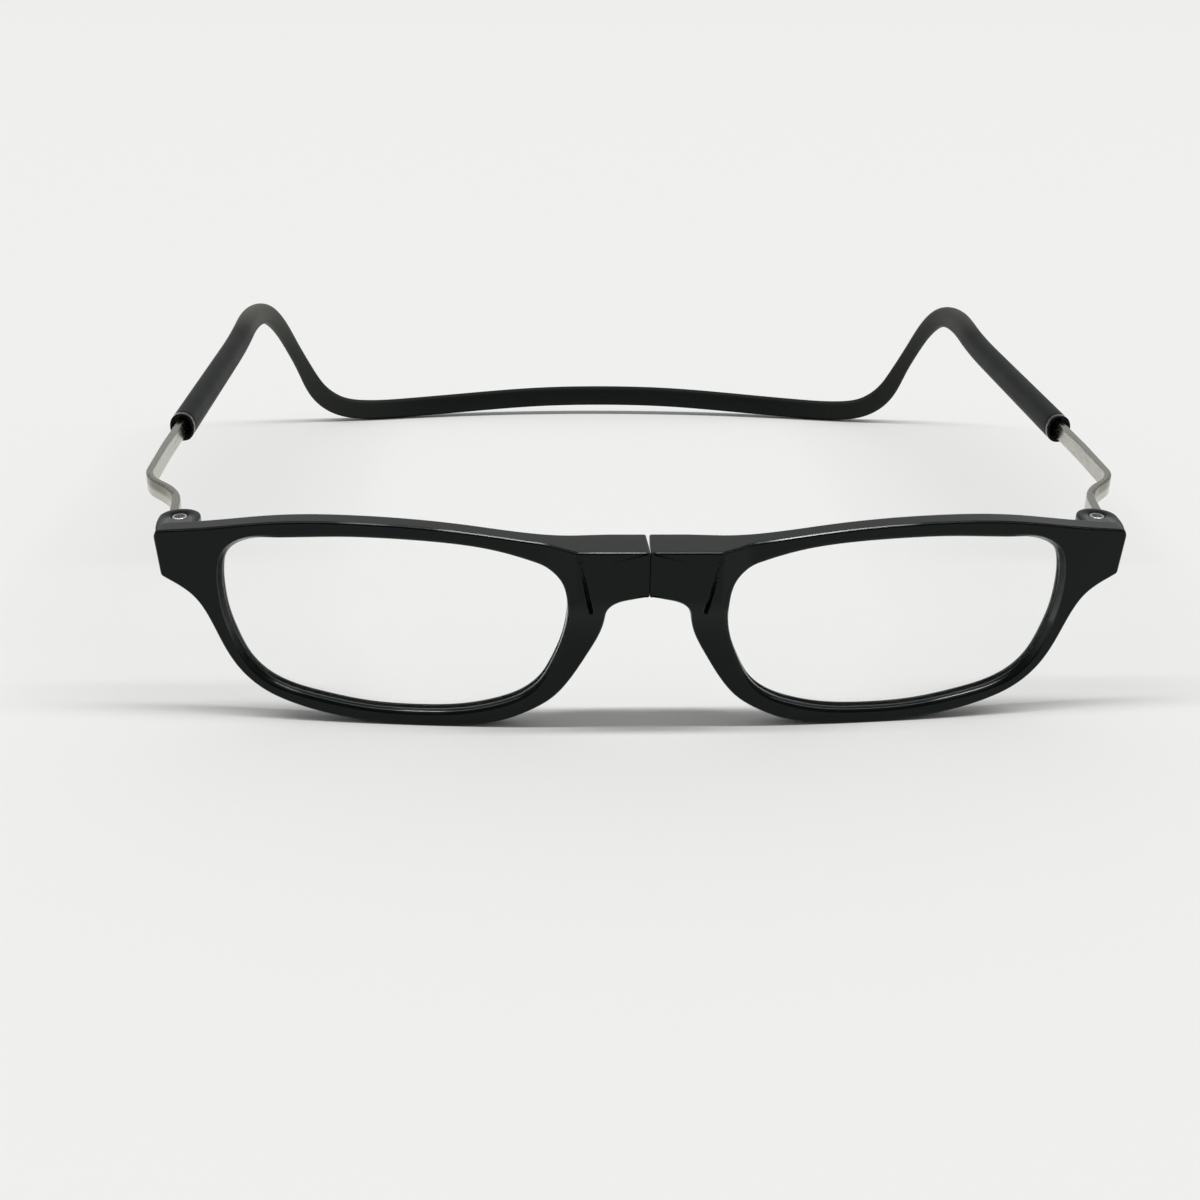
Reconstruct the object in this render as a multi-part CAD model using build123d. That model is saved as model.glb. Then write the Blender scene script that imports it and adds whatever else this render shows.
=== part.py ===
from build123d import *
import os
from math import atan2, degrees, sqrt

# Reading glasses that part at the bridge: two front halves are held together by magnets,
# each swings on a screw at its temple bar, and both bars slide into a one-piece headband.
# Millimetres, +Z up. The wearer looks along -Y, and +X is the wearer's left. The origin is the
# centre of the footprint on the table.

# Whole object
overall_depth = 161.0
running_clearance = 0.05
cut_overrun = 1.0

# Lens opening, seen from the front
lens_width = 51.3
lens_height = 28.4
nose_half_gap = 12.0
top_band = 2.45
bottom_band = 2.45
nose_band = 5.2
outer_band = 3.2

# Front half
wrap_depth = 6.0
rim_depth = 3.3
end_length = 9.7
end_drop = 7.2
end_top_step = 2.8
end_draft = 0.5
end_chamfer = 0.4
end_chamfer_drop = 0.9
edge_round = 0.35

# Bridge block
bridge_height = 7.1
bridge_depth = 7.5
bridge_proud = 2.5
bridge_top_step = 2.8
bridge_half_width = 10.4
bridge_ramp = 6.1
bridge_back_flat = 7.0
bridge_back_ramp = 15.0
bridge_bury = 0.8
bridge_foot = 8.6
seam_front_gap = 0.1
seam_back_gap = 0.66
crease_width = 0.7
crease_length = 9.6
crease_lean = 1.8
crease_depth = 1.5

# Nose flange moulded on the back of each rim
flange_wall = 2.3
flange_reach = 2.6
flange_low = 4.5
flange_high = 20.0

# Lens
lens_front_radius = 260.0
lens_back_radius = 1600.0
lens_thickness = 2.0
lens_inset = 1.35
groove_depth = 0.8
lens_clearance = 0.05

# Bridge magnet
magnet_length = 5.0
magnet_depth = 4.2
magnet_height = 3.6
magnet_round = 0.6
magnet_recess = 0.45
glue_gap = 0.05

# Hinge at the end of the front half
hinge_inset = 2.7
hinge_setback = 2.75
lug_radius = 3.1
lug_height = 6.4
top_leaf = 1.15
eye_radius = 1.9
eye_clearance = 0.35
slot_play = 0.05
screw_radius = 0.7
screw_head_radius = 1.15
screw_head_height = 0.45
screw_head_sink = 0.15
head_clearance = 0.12
screw_cross_width = 0.35
screw_cross_length = 1.5
screw_cross_depth = 0.25
insert_radius = 1.3
insert_length = 1.5
insert_flush = 0.1

# Temple bar, a flat strip bent on edge
bar_thickness = 1.15
bar_height = 3.0
bar_drift = 1.3
bar_neck = 12.7
bar_kick = 7.75
bar_kick_run = 8.35
bend_inner_radius = 11.0
bend_outer_radius = 5.5
bar_inside = 30.0

# Sleeve of the headband and its bush
mouth_reach = 49.7
sleeve_width = 4.3
sleeve_height = 5.1
sleeve_length = 45.7
bush_flange = 1.3
bush_plug = 7.0
bush_plug_width = 3.3
bush_plug_height = 4.3
bush_mouth_sink = 0.8
bush_mouth_margin = 0.45
slide_clearance = 0.05
bore_width = 2.5
bore_height = 4.1
bore_round = 0.8
bore_spare = 2.0

# Slide stop, a shoe on the inner end of each bar
stop_length = 5.0
stop_width = 2.2
stop_height = 3.9
stop_grip = 4.0
stop_round = 0.5

# Headband behind the ears and neck
band_width = 2.6
band_height = 4.7
drop_height = 3.4
arch_rise = 1.75
band_sections = 28
taper_start_share = 0.17
taper_end_share = 0.33
neck_start_share = 0.46

# Places worked out from those sizes
lens_outer_x = nose_half_gap + lens_width
rim_inner_x = nose_half_gap - nose_band
rim_outer_x = lens_outer_x + outer_band
tip_x = lens_outer_x + end_length
front_height = bottom_band + lens_height + top_band
bridge_front_y = -overall_depth / 2
apex_y = bridge_front_y + bridge_proud
tip_y = apex_y + wrap_depth
bridge_back_y = bridge_front_y + bridge_depth
bridge_top = front_height - bridge_top_step
bridge_bottom = bridge_top - bridge_height
end_top = front_height - end_top_step
end_bottom = end_top - end_drop
wrap_radius = (tip_x**2 + wrap_depth**2) / (2 * wrap_depth)
hinge_x = tip_x - hinge_inset
hinge_y = tip_y + rim_depth + hinge_setback
lug_top = end_top
eye_top = lug_top - top_leaf - slot_play
bar_z = eye_top - bar_height / 2
slot_top = eye_top + slot_play
slot_bottom = eye_top - bar_height - slot_play
bar_x = hinge_x + eye_radius - bar_thickness / 2 + bar_drift + bar_kick
mouth_y = hinge_y + mouth_reach
bar_end_y = mouth_y + bar_inside
sleeve_end_y = mouth_y + bush_flange + sleeve_length
band_back_y = overall_depth / 2 - band_width / 2


def wrap_y(x, depth=0):
    """Y of the front's curve at x, or of the concentric curve that lies depth behind it."""
    return apex_y + wrap_radius - sqrt((wrap_radius - depth) ** 2 - x**2)


def scaled(shares, low_x, width, low_z, height):
    """Points in the front view from shares of a box."""
    return [(low_x + s * width, low_z + t * height) for s, t in shares]


def front_prism(face, reach):
    """A front-view face carried along Y, from well before the front to reach behind the tip."""
    start = bridge_front_y - cut_overrun
    placed = Plane(origin=(0, start, 0), x_dir=(1, 0, 0), z_dir=(0, -1, 0)) * face
    return extrude(placed, tip_y + reach - start, dir=(0, 1, 0))


# Outlines of the front view, as shares of the lens opening and of the rim's box
lens_shares = [
    (0.595, 1.0), (0.819, 0.98), (0.926, 0.95), (0.977, 0.886), (0.996, 0.794), (1.0, 0.671),
    (0.992, 0.526), (0.971, 0.393), (0.94, 0.266), (0.895, 0.174), (0.828, 0.106), (0.733, 0.058),
    (0.589, 0.012), (0.439, 0.0), (0.312, 0.012), (0.214, 0.049), (0.136, 0.106), (0.082, 0.188),
    (0.045, 0.305), (0.018, 0.428), (0.002, 0.562), (0.0, 0.688), (0.02, 0.808), (0.09, 0.882),
    (0.206, 0.945), (0.39, 0.988),
]
rim_low_shares = [
    (0.005, 0.494), (0.038, 0.373), (0.081, 0.246), (0.123, 0.157), (0.186, 0.083), (0.245, 0.038),
    (0.322, 0.011), (0.456, 0.0), (0.581, 0.009), (0.665, 0.029), (0.778, 0.08), (0.868, 0.157),
    (0.928, 0.267), (0.964, 0.394), (0.996, 0.533),
]
rim_top_shares = [(0.99, 0.937), (0.81, 0.981), (0.59, 1.0), (0.37, 0.977), (0.225, 0.944)]
nose_roof_shares = [(0.407, 0.079), (0.688, 0.173), (0.857, 0.36), (0.906, 0.604)]
end_under_shares = [(0.17, 0.32), (0.36, 0.55), (0.62, 0.76)]


def lens_outline(grow=0):
    """The opening's outline as a face in the front view, grown outwards by a groove."""
    points = scaled(lens_shares, nose_half_gap, lens_width, bottom_band, lens_height)
    along_top = (1, 0)
    line = Spline([*points, points[0]], tangents=[along_top, along_top])
    if not grow:
        return make_face(line)
    grown = []
    for point in points:
        run = line.tangent_at(line.param_at_point(point))
        grown.append(Vector(*point) + Vector(-run.Y, run.X) * grow)
    return make_face(Spline([*grown, grown[0]], tangents=[along_top, along_top]))


def front_outline():
    """Outer outline of one front half from the seam to the tip."""
    rim_width = rim_outer_x - rim_inner_x
    low = scaled(rim_low_shares, rim_inner_x, rim_width, 0, front_height)
    top = scaled(rim_top_shares, rim_inner_x, rim_width, 0, front_height)
    roof_drop = bridge_bottom - low[0][1]
    roof = [(s * low[0][0], bridge_bottom - t * roof_drop) for s, t in nose_roof_shares]
    under_x, under_z = low[-1]
    under_run = tip_x - end_draft - under_x
    under_rise = end_bottom - under_z
    under = [(under_x + s * under_run, under_z + t * under_rise) for s, t in end_under_shares]
    seam_low = (0, bridge_bottom)
    corner_low = (tip_x - end_draft, end_bottom)
    corner_high = (tip_x, end_top - end_chamfer_drop)
    corner_top = (tip_x - end_chamfer, end_top)
    block_top = (bridge_half_width, bridge_top)
    below = Spline([seam_low, *roof, *low, *under])
    tail = Polyline(below @ 1, corner_low, corner_high, corner_top)
    end_slope = (-1, end_top_step / end_length / 2)
    above = Spline([corner_top, *top, block_top], tangents=[end_slope, (-1, 0)])
    close = Polyline(block_top, (0, bridge_top), seam_low)
    return make_face([*below.edges(), *tail.edges(), *above.edges(), *close.edges()])


def seam_side():
    """All that one half may fill on its side of the seam, which opens towards the back."""
    front_y = bridge_front_y - cut_overrun
    back_y = hinge_y + lug_radius + cut_overrun
    far_x = tip_x + cut_overrun
    plan = Polyline((seam_front_gap / 2, front_y), (far_x, front_y), (far_x, back_y),
                    (seam_back_gap / 2, back_y), (seam_back_gap / 2, bridge_back_y), close=True)
    return extrude(make_face(plan), front_height + cut_overrun)


def wrap_slab():
    """The curved sheet, one rim deep, that the front is cut from."""
    far = tip_x + cut_overrun
    front = ThreePointArc((0, wrap_y(0)), (far / 2, wrap_y(far / 2)), (far, wrap_y(far)))
    back = ThreePointArc((0, wrap_y(0, rim_depth)), (far / 2, wrap_y(far / 2, rim_depth)),
                         (far, wrap_y(far, rim_depth)))
    ends = [Line(front @ 1, back @ 1), Line(back @ 0, front @ 0)]
    return extrude(make_face([front, back, *ends]), front_height + cut_overrun)


def bridge_block():
    """The thick block at the seam, ramped into the rim sideways and downwards."""
    ramp_x = bridge_half_width + bridge_ramp
    back_x = bridge_back_flat + bridge_back_ramp
    front_foot_y = wrap_y(ramp_x) + bridge_bury
    back_foot_y = wrap_y(back_x, rim_depth) - bridge_bury
    plan = Polyline((0, bridge_front_y), (bridge_half_width, bridge_front_y),
                    (ramp_x, front_foot_y), (back_x, back_foot_y),
                    (bridge_back_flat, bridge_back_y), (0, bridge_back_y), close=True)
    foot_z = bridge_bottom - bridge_foot
    side = Polyline((bridge_front_y, front_height), (bridge_front_y, bridge_bottom - crease_depth),
                    (apex_y + bridge_bury, foot_z), (wrap_y(0, rim_depth) - bridge_bury, foot_z),
                    (bridge_back_y, bridge_bottom), (bridge_back_y, front_height), close=True)
    across = Plane(origin=(0, 0, 0), x_dir=(0, 1, 0), z_dir=(1, 0, 0)) * make_face(side)
    return extrude(make_face(plan), front_height) & extrude(across, back_x)


def bridge_crease():
    """The narrow pocket between block and rim, whose floor sinks towards the lower end."""
    low_z = bridge_top - crease_length - crease_width / 2
    middle_x = bridge_half_width - crease_lean / 2
    middle_z = bridge_top - crease_length / 2 - crease_width / 2
    lean = degrees(atan2(crease_lean, crease_length))
    slot = Pos(middle_x, middle_z) * Rot(0, 0, 90 - lean) * SlotCenterToCenter(
        crease_length, crease_width)
    floor = Polyline((bridge_front_y - cut_overrun, bridge_top + cut_overrun),
                     (bridge_front_y - cut_overrun, low_z - crease_width),
                     (bridge_front_y + crease_depth, low_z - crease_width),
                     (bridge_front_y + crease_depth, low_z),
                     (bridge_front_y, bridge_top), close=True)
    across = Plane(origin=(0, 0, 0), x_dir=(0, 1, 0), z_dir=(1, 0, 0)) * make_face(floor)
    return front_prism(slot, rim_depth) & extrude(across, tip_x)


def nose_flange(outline):
    """The moulded flange behind the rim that bears on the nose."""
    strip = front_prism(outline, rim_depth + flange_reach)
    strip -= Pos(flange_wall, 0, 0) * front_prism(outline, rim_depth + flange_reach)
    middle_z = (flange_low + flange_high) / 2
    back = wrap_y(rim_inner_x, rim_depth)
    bump = make_face([ThreePointArc((back, flange_low), (back + flange_reach, middle_z),
                                    (back, flange_high)),
                      Polyline((back, flange_high), (back - rim_depth / 2, flange_high),
                               (back - rim_depth / 2, flange_low), (back, flange_low))])
    across = Plane(origin=(0, 0, 0), x_dir=(0, 1, 0), z_dir=(1, 0, 0)) * bump
    return strip & extrude(across, lens_outer_x / 2)


def lens_centre():
    """Centre of the lens in plan on the front's curve, and the direction straight behind it."""
    x = nose_half_gap + lens_width / 2
    y = wrap_y(x)
    behind = Vector(-x, apex_y + wrap_radius - y, 0).normalized()
    return Vector(x, y, bottom_band + lens_height / 2), behind


def lens_solid(grow, slack):
    """A meniscus cut to the opening's outline grown by grow; slack widens it for the groove."""
    centre, behind = lens_centre()
    vertex = centre + behind * (lens_inset - lens_sag() - slack)
    ball = Pos(*(vertex + behind * lens_front_radius)) * Sphere(lens_front_radius)
    rear_vertex = centre + behind * (lens_inset - lens_sag() + lens_thickness + slack)
    rear = Pos(*(rear_vertex + behind * lens_back_radius)) * Sphere(lens_back_radius)
    return (front_prism(lens_outline(grow), rim_depth + lug_radius) & ball) - rear


def lens_sag():
    """How far the lens front stands ahead at its centre, measured from its outer edge."""
    half = lens_width / 2
    curve = lens_front_radius - sqrt(lens_front_radius**2 - half**2)
    return curve - (wrap_radius - sqrt(wrap_radius**2 - half**2))


def lug():
    """The hinge lug behind the end piece: two leaves joined by a web on the inner side."""
    low_z = lug_top - lug_height
    disc = Pos(hinge_x, hinge_y) * Circle(lug_radius)
    neck_y = wrap_y(hinge_x, rim_depth / 2)
    neck = Pos(hinge_x, (hinge_y + neck_y) / 2) * Rectangle(2 * lug_radius, hinge_y - neck_y)
    return extrude(Pos(0, 0, low_z) * (disc + neck), lug_height)


def lug_slot():
    """The gap between the leaves, open behind and outwards so that the bar can swing."""
    low_x = hinge_x - eye_radius - eye_clearance
    low_y = hinge_y - eye_radius - eye_clearance
    far_x = tip_x + lug_radius
    far_y = hinge_y + lug_radius + cut_overrun
    box = Box(far_x - low_x, far_y - low_y, slot_top - slot_bottom, align=Align.MIN)
    return Pos(low_x, low_y, slot_bottom) * box


def hinge_bores():
    """Counterbore for the head, bore for the shank and pocket for the threaded insert."""
    head = Cylinder(screw_head_radius + head_clearance, screw_head_height + screw_head_sink,
                    align=(Align.CENTER, Align.CENTER, Align.MAX))
    shank = Cylinder(screw_radius + running_clearance, lug_height + cut_overrun,
                     align=(Align.CENTER, Align.CENTER, Align.MAX))
    low_z = lug_top - lug_height
    pocket = Cylinder(insert_radius + glue_gap, insert_length + insert_flush + cut_overrun,
                      align=(Align.CENTER, Align.CENTER, Align.MIN))
    at_top = Pos(hinge_x, hinge_y, lug_top)
    return at_top * head + at_top * shank + Pos(hinge_x, hinge_y, low_z - cut_overrun) * pocket


def magnet_solid(slack, reach):
    """The block magnet, from its face beside the seam outwards."""
    section = RectangleRounded(magnet_depth + 2 * slack, magnet_height + 2 * slack, magnet_round)
    middle_y = (bridge_front_y + bridge_back_y) / 2
    middle_z = (bridge_top + bridge_bottom) / 2
    face = Plane(origin=(magnet_recess - reach, middle_y, middle_z), x_dir=(0, 1, 0),
                 z_dir=(1, 0, 0)) * section
    return extrude(face, magnet_length + reach + slack)


def softened(body):
    """Rounds the rim's outer edge on the front face."""
    def on_front(edge):
        return all(abs(p.Y - wrap_y(p.X)) < edge_round / 2 for p in (edge @ 0, edge @ 0.5, edge @ 1))
    edges = [edge for edge in body.edges() if on_front(edge) and (edge @ 0.5).X > edge_round]
    return fillet(edges, edge_round)


def front_half():
    """One moulded front half on the wearer's left: rim, half bridge, flange and hinge lug."""
    outline = front_outline()
    body = softened(front_prism(outline, rim_depth) & wrap_slab())
    body += front_prism(outline, rim_depth) & bridge_block()
    body += nose_flange(outline)
    body += lug()
    body &= seam_side()
    body -= front_prism(lens_outline(), rim_depth + lug_radius)
    body -= bridge_crease()
    body -= lens_solid(groove_depth + lens_clearance, lens_clearance)
    body -= magnet_solid(glue_gap, magnet_recess + cut_overrun)
    body -= lug_slot()
    body -= hinge_bores()
    return body


def hinge_screw():
    """Pan-head machine screw with a cross recess, down through both leaves and the eye."""
    top_z = lug_top - screw_head_sink
    low_z = lug_top - lug_height + insert_flush
    shank_top = top_z - screw_head_height
    head = Pos(0, 0, shank_top) * Cylinder(screw_head_radius, screw_head_height,
                                           align=(Align.CENTER, Align.CENTER, Align.MIN))
    shank = Pos(0, 0, low_z) * Cylinder(screw_radius, shank_top - low_z,
                                        align=(Align.CENTER, Align.CENTER, Align.MIN))
    cross = Box(screw_cross_length, screw_cross_width, screw_cross_depth,
                align=(Align.CENTER, Align.CENTER, Align.MAX))
    cross += Rot(0, 0, 90) * cross
    return Pos(hinge_x, hinge_y, 0) * (head + shank - Pos(0, 0, top_z) * cross)


def hinge_insert():
    """Threaded insert in the lower leaf that the screw runs into."""
    low_z = lug_top - lug_height + insert_flush
    ring = Circle(insert_radius) - Circle(screw_radius + running_clearance / 2)
    return Pos(hinge_x, hinge_y, low_z) * extrude(ring, insert_length)


def temple_bar():
    """Flat strip on edge: a rolled eye, a short neck, the S bend and the straight slide."""
    start_x = hinge_x + eye_radius - bar_thickness / 2
    neck = (start_x + bar_drift, hinge_y + bar_neck)
    kick = (bar_x, hinge_y + bar_neck + bar_kick_run)
    path = FilletPolyline((start_x, hinge_y), neck, kick, (bar_x, bar_end_y),
                          radius=[bend_inner_radius, bend_outer_radius])
    low_z = bar_z - bar_height / 2
    strip = extrude(Pos(0, 0, low_z) * trace(path, bar_thickness), bar_height)
    eye = extrude(Pos(hinge_x, hinge_y, low_z) * Circle(eye_radius), bar_height)
    bore = Pos(hinge_x, hinge_y, bar_z) * Cylinder(screw_radius + running_clearance,
                                                   bar_height + cut_overrun)
    return strip + eye - bore


def along_y(section, start_y, length):
    """A section in the XZ plane at the sleeve's centre, carried back from start_y."""
    placed = Plane(origin=(bar_x, start_y, bar_z), x_dir=(1, 0, 0), z_dir=(0, 1, 0)) * section
    return extrude(placed, length)


def slot_section(slack):
    """The bar's section with slack all round."""
    return Rectangle(bar_thickness + 2 * slack, bar_height + 2 * slack)


def oval(width, height):
    """Oval section of four arcs, width across and height up."""
    side, top = width / 2, height / 2
    diagonal = sqrt(0.5)
    mid_x, mid_y = side * diagonal, top * diagonal
    return make_face([ThreePointArc((side, 0), (mid_x, mid_y), (0, top)),
                      ThreePointArc((0, top), (-mid_x, mid_y), (-side, 0)),
                      ThreePointArc((-side, 0), (-mid_x, -mid_y), (0, -top)),
                      ThreePointArc((0, -top), (mid_x, -mid_y), (side, 0))])


def sleeve_bush():
    """Hard bush in the sleeve's mouth that guides the bar, with a sunken mouth."""
    body = along_y(oval(sleeve_width, sleeve_height), mouth_y, bush_flange)
    body += along_y(oval(bush_plug_width, bush_plug_height), mouth_y + bush_flange, bush_plug)
    body -= along_y(slot_section(slide_clearance), mouth_y - cut_overrun,
                    bush_flange + bush_plug + 2 * cut_overrun)
    sunk = oval(sleeve_width - 2 * bush_mouth_margin, sleeve_height - 2 * bush_mouth_margin)
    body -= along_y(sunk, mouth_y - cut_overrun, cut_overrun + bush_mouth_sink)
    return body


def slide_stop():
    """Shoe on the bar's inner end, too wide for the bush, so that the bar can't pull out."""
    low_y = bar_end_y - stop_grip
    body = along_y(RectangleRounded(stop_width, stop_height, stop_round), low_y, stop_length)
    body -= along_y(slot_section(glue_gap), low_y - cut_overrun, stop_grip + cut_overrun + glue_gap)
    return body


# The band's centre line from the sleeve's end to the middle of the neck: shares of the half
# width, of the reach behind the sleeve, and of the height between table and arch
band_shares = [
    (1.0, 0.14, 0.939), (1.0, 0.34, 0.958), (0.99, 0.556, 0.994), (0.967, 0.68, 0.952),
    (0.945, 0.743, 0.839), (0.917, 0.797, 0.63), (0.885, 0.833, 0.391), (0.848, 0.854, 0.173),
    (0.795, 0.869, 0.05), (0.72, 0.884, 0.005), (0.596, 0.917, 0.004), (0.411, 0.962, 0.03),
    (0.198, 0.991, 0.066), (0.0, 1.0, 0.076),
]


def band_path():
    """Smooth line of half the band, from the sleeve's end to the middle of the neck."""
    reach = band_back_y - sleeve_end_y
    low = band_height / 2
    rise = bar_z + arch_rise - low
    points = [(bar_x, sleeve_end_y, bar_z)]
    points += [(bar_x * s, sleeve_end_y + reach * t, low + rise * u) for s, t, u in band_shares]
    return Spline(points, tangents=[(0, 1, 0), (-1, 0, 0)])


def between(t, start, end):
    """How far t has come from start to end, from none to all of the way."""
    return min(1, max(0, (t - start) / (end - start)))


def headband():
    """One-piece flexible band: a hollow sleeve at each end, an arch behind each ear."""
    path = band_path()
    sections = []
    for i in range(band_sections + 1):
        t = i / band_sections
        along = path.tangent_at(t)
        slim = between(t, taper_start_share, taper_end_share)
        taller = between(t, taper_end_share, neck_start_share)
        width = sleeve_width + (band_width - sleeve_width) * slim
        height = sleeve_height + (drop_height - sleeve_height) * slim
        height += (band_height - drop_height) * taller
        plane = Plane(origin=path.position_at(t), x_dir=Vector(0, 0, 1).cross(along), z_dir=along)
        sections.append(plane * oval(width, height))
    half = loft(sections)
    sleeve = along_y(oval(sleeve_width, sleeve_height), mouth_y + bush_flange, sleeve_length)
    sleeve -= along_y(oval(bush_plug_width + 2 * glue_gap, bush_plug_height + 2 * glue_gap),
                      mouth_y, bush_flange + bush_plug + glue_gap)
    bore = RectangleRounded(bore_width, bore_height, bore_round)
    sleeve -= along_y(bore, mouth_y, sleeve_end_y - bore_spare - mouth_y)
    half += sleeve
    return half + mirror(half, about=Plane.YZ)


os.makedirs("parts", exist_ok=True)
pieces = {
    "frame": front_half(),
    "lens": lens_solid(groove_depth, 0),
    "bridge_magnet": magnet_solid(0, 0),
    "hinge_screw": hinge_screw(),
    "hinge_insert": hinge_insert(),
    "temple_bar": temple_bar(),
    "slide_stop": slide_stop(),
    "sleeve_bush": sleeve_bush(),
}
for name, piece in pieces.items():
    export_step(piece, f"parts/left_{name}.step")
    export_step(mirror(piece, about=Plane.YZ), f"parts/right_{name}.step")
export_step(headband(), "parts/headband.step")
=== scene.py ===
# %% [markdown]
# # Reading glasses that part at the bridge
#
# These glasses come apart in the middle. Two magnets hold the halves of the front together,
# each half swings on a small screw at its temple bar, and the two flat steel bars slide into
# the sleeves of a one-piece band that goes round behind the neck.
#
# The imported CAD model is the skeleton. Every visible piece is drawn again here as a smooth
# surface, because a moulded plastic front is judged by how light runs over its rounded edges.

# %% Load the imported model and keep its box
import math

import bmesh
import bpy
import numpy as np
from mathutils import Matrix, Vector


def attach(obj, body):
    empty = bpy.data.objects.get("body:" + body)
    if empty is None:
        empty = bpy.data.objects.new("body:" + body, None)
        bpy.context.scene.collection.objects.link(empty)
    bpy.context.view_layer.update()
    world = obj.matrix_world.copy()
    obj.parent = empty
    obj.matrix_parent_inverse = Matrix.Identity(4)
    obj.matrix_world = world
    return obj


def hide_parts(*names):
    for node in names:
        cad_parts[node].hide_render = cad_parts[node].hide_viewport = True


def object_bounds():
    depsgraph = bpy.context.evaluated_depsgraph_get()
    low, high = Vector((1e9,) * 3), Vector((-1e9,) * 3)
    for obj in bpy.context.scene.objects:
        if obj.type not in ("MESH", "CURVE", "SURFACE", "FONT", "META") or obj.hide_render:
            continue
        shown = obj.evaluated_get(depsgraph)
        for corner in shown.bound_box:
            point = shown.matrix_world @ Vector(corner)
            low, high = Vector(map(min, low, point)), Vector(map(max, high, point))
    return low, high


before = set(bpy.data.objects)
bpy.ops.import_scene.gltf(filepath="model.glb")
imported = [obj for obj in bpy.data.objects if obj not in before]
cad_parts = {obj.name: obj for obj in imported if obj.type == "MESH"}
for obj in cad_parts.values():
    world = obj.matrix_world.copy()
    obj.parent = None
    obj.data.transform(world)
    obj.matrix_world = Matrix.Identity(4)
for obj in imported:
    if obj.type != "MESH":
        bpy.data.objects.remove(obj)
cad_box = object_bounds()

# %% [markdown]
# ## Units and meshes
#
# All sizes below are in millimetres, as a maker would say them, and one function turns them
# into metres when it makes the mesh. A surface is always the same thing here: a grid of
# points, so many columns by so many rows, which may close on itself in either direction. A
# grid is easy to compute as one array, and its faces need no loop. The wearer's left half
# (+X) is worked out, and the right half is its mirror image with its faces turned round.

# %% From a grid of points to a Blender object
METRES_PER_MM = 0.001
WELD_MM = 0.0005


def grid_faces(columns, rows, close_columns, close_rows):
    """Corner numbers of each cell: (i, j), (i+1, j), (i+1, j+1), (i, j+1), wrapped if closed."""
    i, j = np.meshgrid(np.arange(columns - (not close_columns)), np.arange(rows - (not close_rows)),
                       indexing="ij")
    i, j = i.ravel(), j.ravel()
    next_i, next_j = (i + 1) % columns, (j + 1) % rows
    return np.stack([i * rows + j, next_i * rows + j, next_i * rows + next_j, i * rows + next_j], 1)


def make_piece(name, shells, side=1, mask=None):
    """One mesh of several closed grid shells (points, close_columns, close_rows), X times side.
    Points that fall together, as at a pole, are welded, and all faces are turned outwards. A mask
    is a name and one value for each point of the first shell, for the finish to read."""
    points, faces, first = [], [], 0
    for grid, close_columns, close_rows in shells:
        columns, rows = grid.shape[:2]
        points.append(grid.reshape(-1, 3))
        faces.append(grid_faces(columns, rows, close_columns, close_rows) + first)
        first += columns * rows
    points = np.concatenate(points) * [side, 1, 1] * METRES_PER_MM
    faces = np.concatenate(faces)
    mesh = bpy.data.meshes.new(name)
    mesh.vertices.add(len(points))
    mesh.vertices.foreach_set("co", points.astype(np.float32).ravel())
    mesh.loops.add(faces.size)
    mesh.loops.foreach_set("vertex_index", faces.astype(np.int32).ravel())
    mesh.polygons.add(len(faces))
    mesh.polygons.foreach_set("loop_start", np.arange(0, faces.size, 4, dtype=np.int32))
    mesh.polygons.foreach_set("use_smooth", np.ones(len(faces), bool))
    mesh.update(calc_edges=True)
    if mask:
        values = np.zeros(len(points), np.float32)
        values[:mask[1].size] = mask[1].ravel()
        mesh.attributes.new(mask[0], "FLOAT", "POINT").data.foreach_set("value", values)
    work = bmesh.new()
    work.from_mesh(mesh)
    bmesh.ops.remove_doubles(work, verts=work.verts, dist=WELD_MM * METRES_PER_MM)
    bmesh.ops.recalc_face_normals(work, faces=work.faces)
    work.to_mesh(mesh)
    work.free()
    piece = bpy.data.objects.new(name, mesh)
    bpy.context.scene.collection.objects.link(piece)
    return piece


def settle(piece, body, node, material):
    """Gives a finished piece its body, the CAD node that it stands for and its finish."""
    piece.data.materials.append(material)
    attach(piece, body)
    if node:
        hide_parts(node)
    print(piece.name, len(piece.data.polygons), "faces, rides on", body)


# %% [markdown]
# ## Smooth lines
#
# Every outline on these glasses is a smooth line through a few chosen points. A cubic spline
# whose parameter is the distance between neighbouring points gives the same line as the CAD
# does. It needs one small linear system for the slopes at the points.

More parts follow.
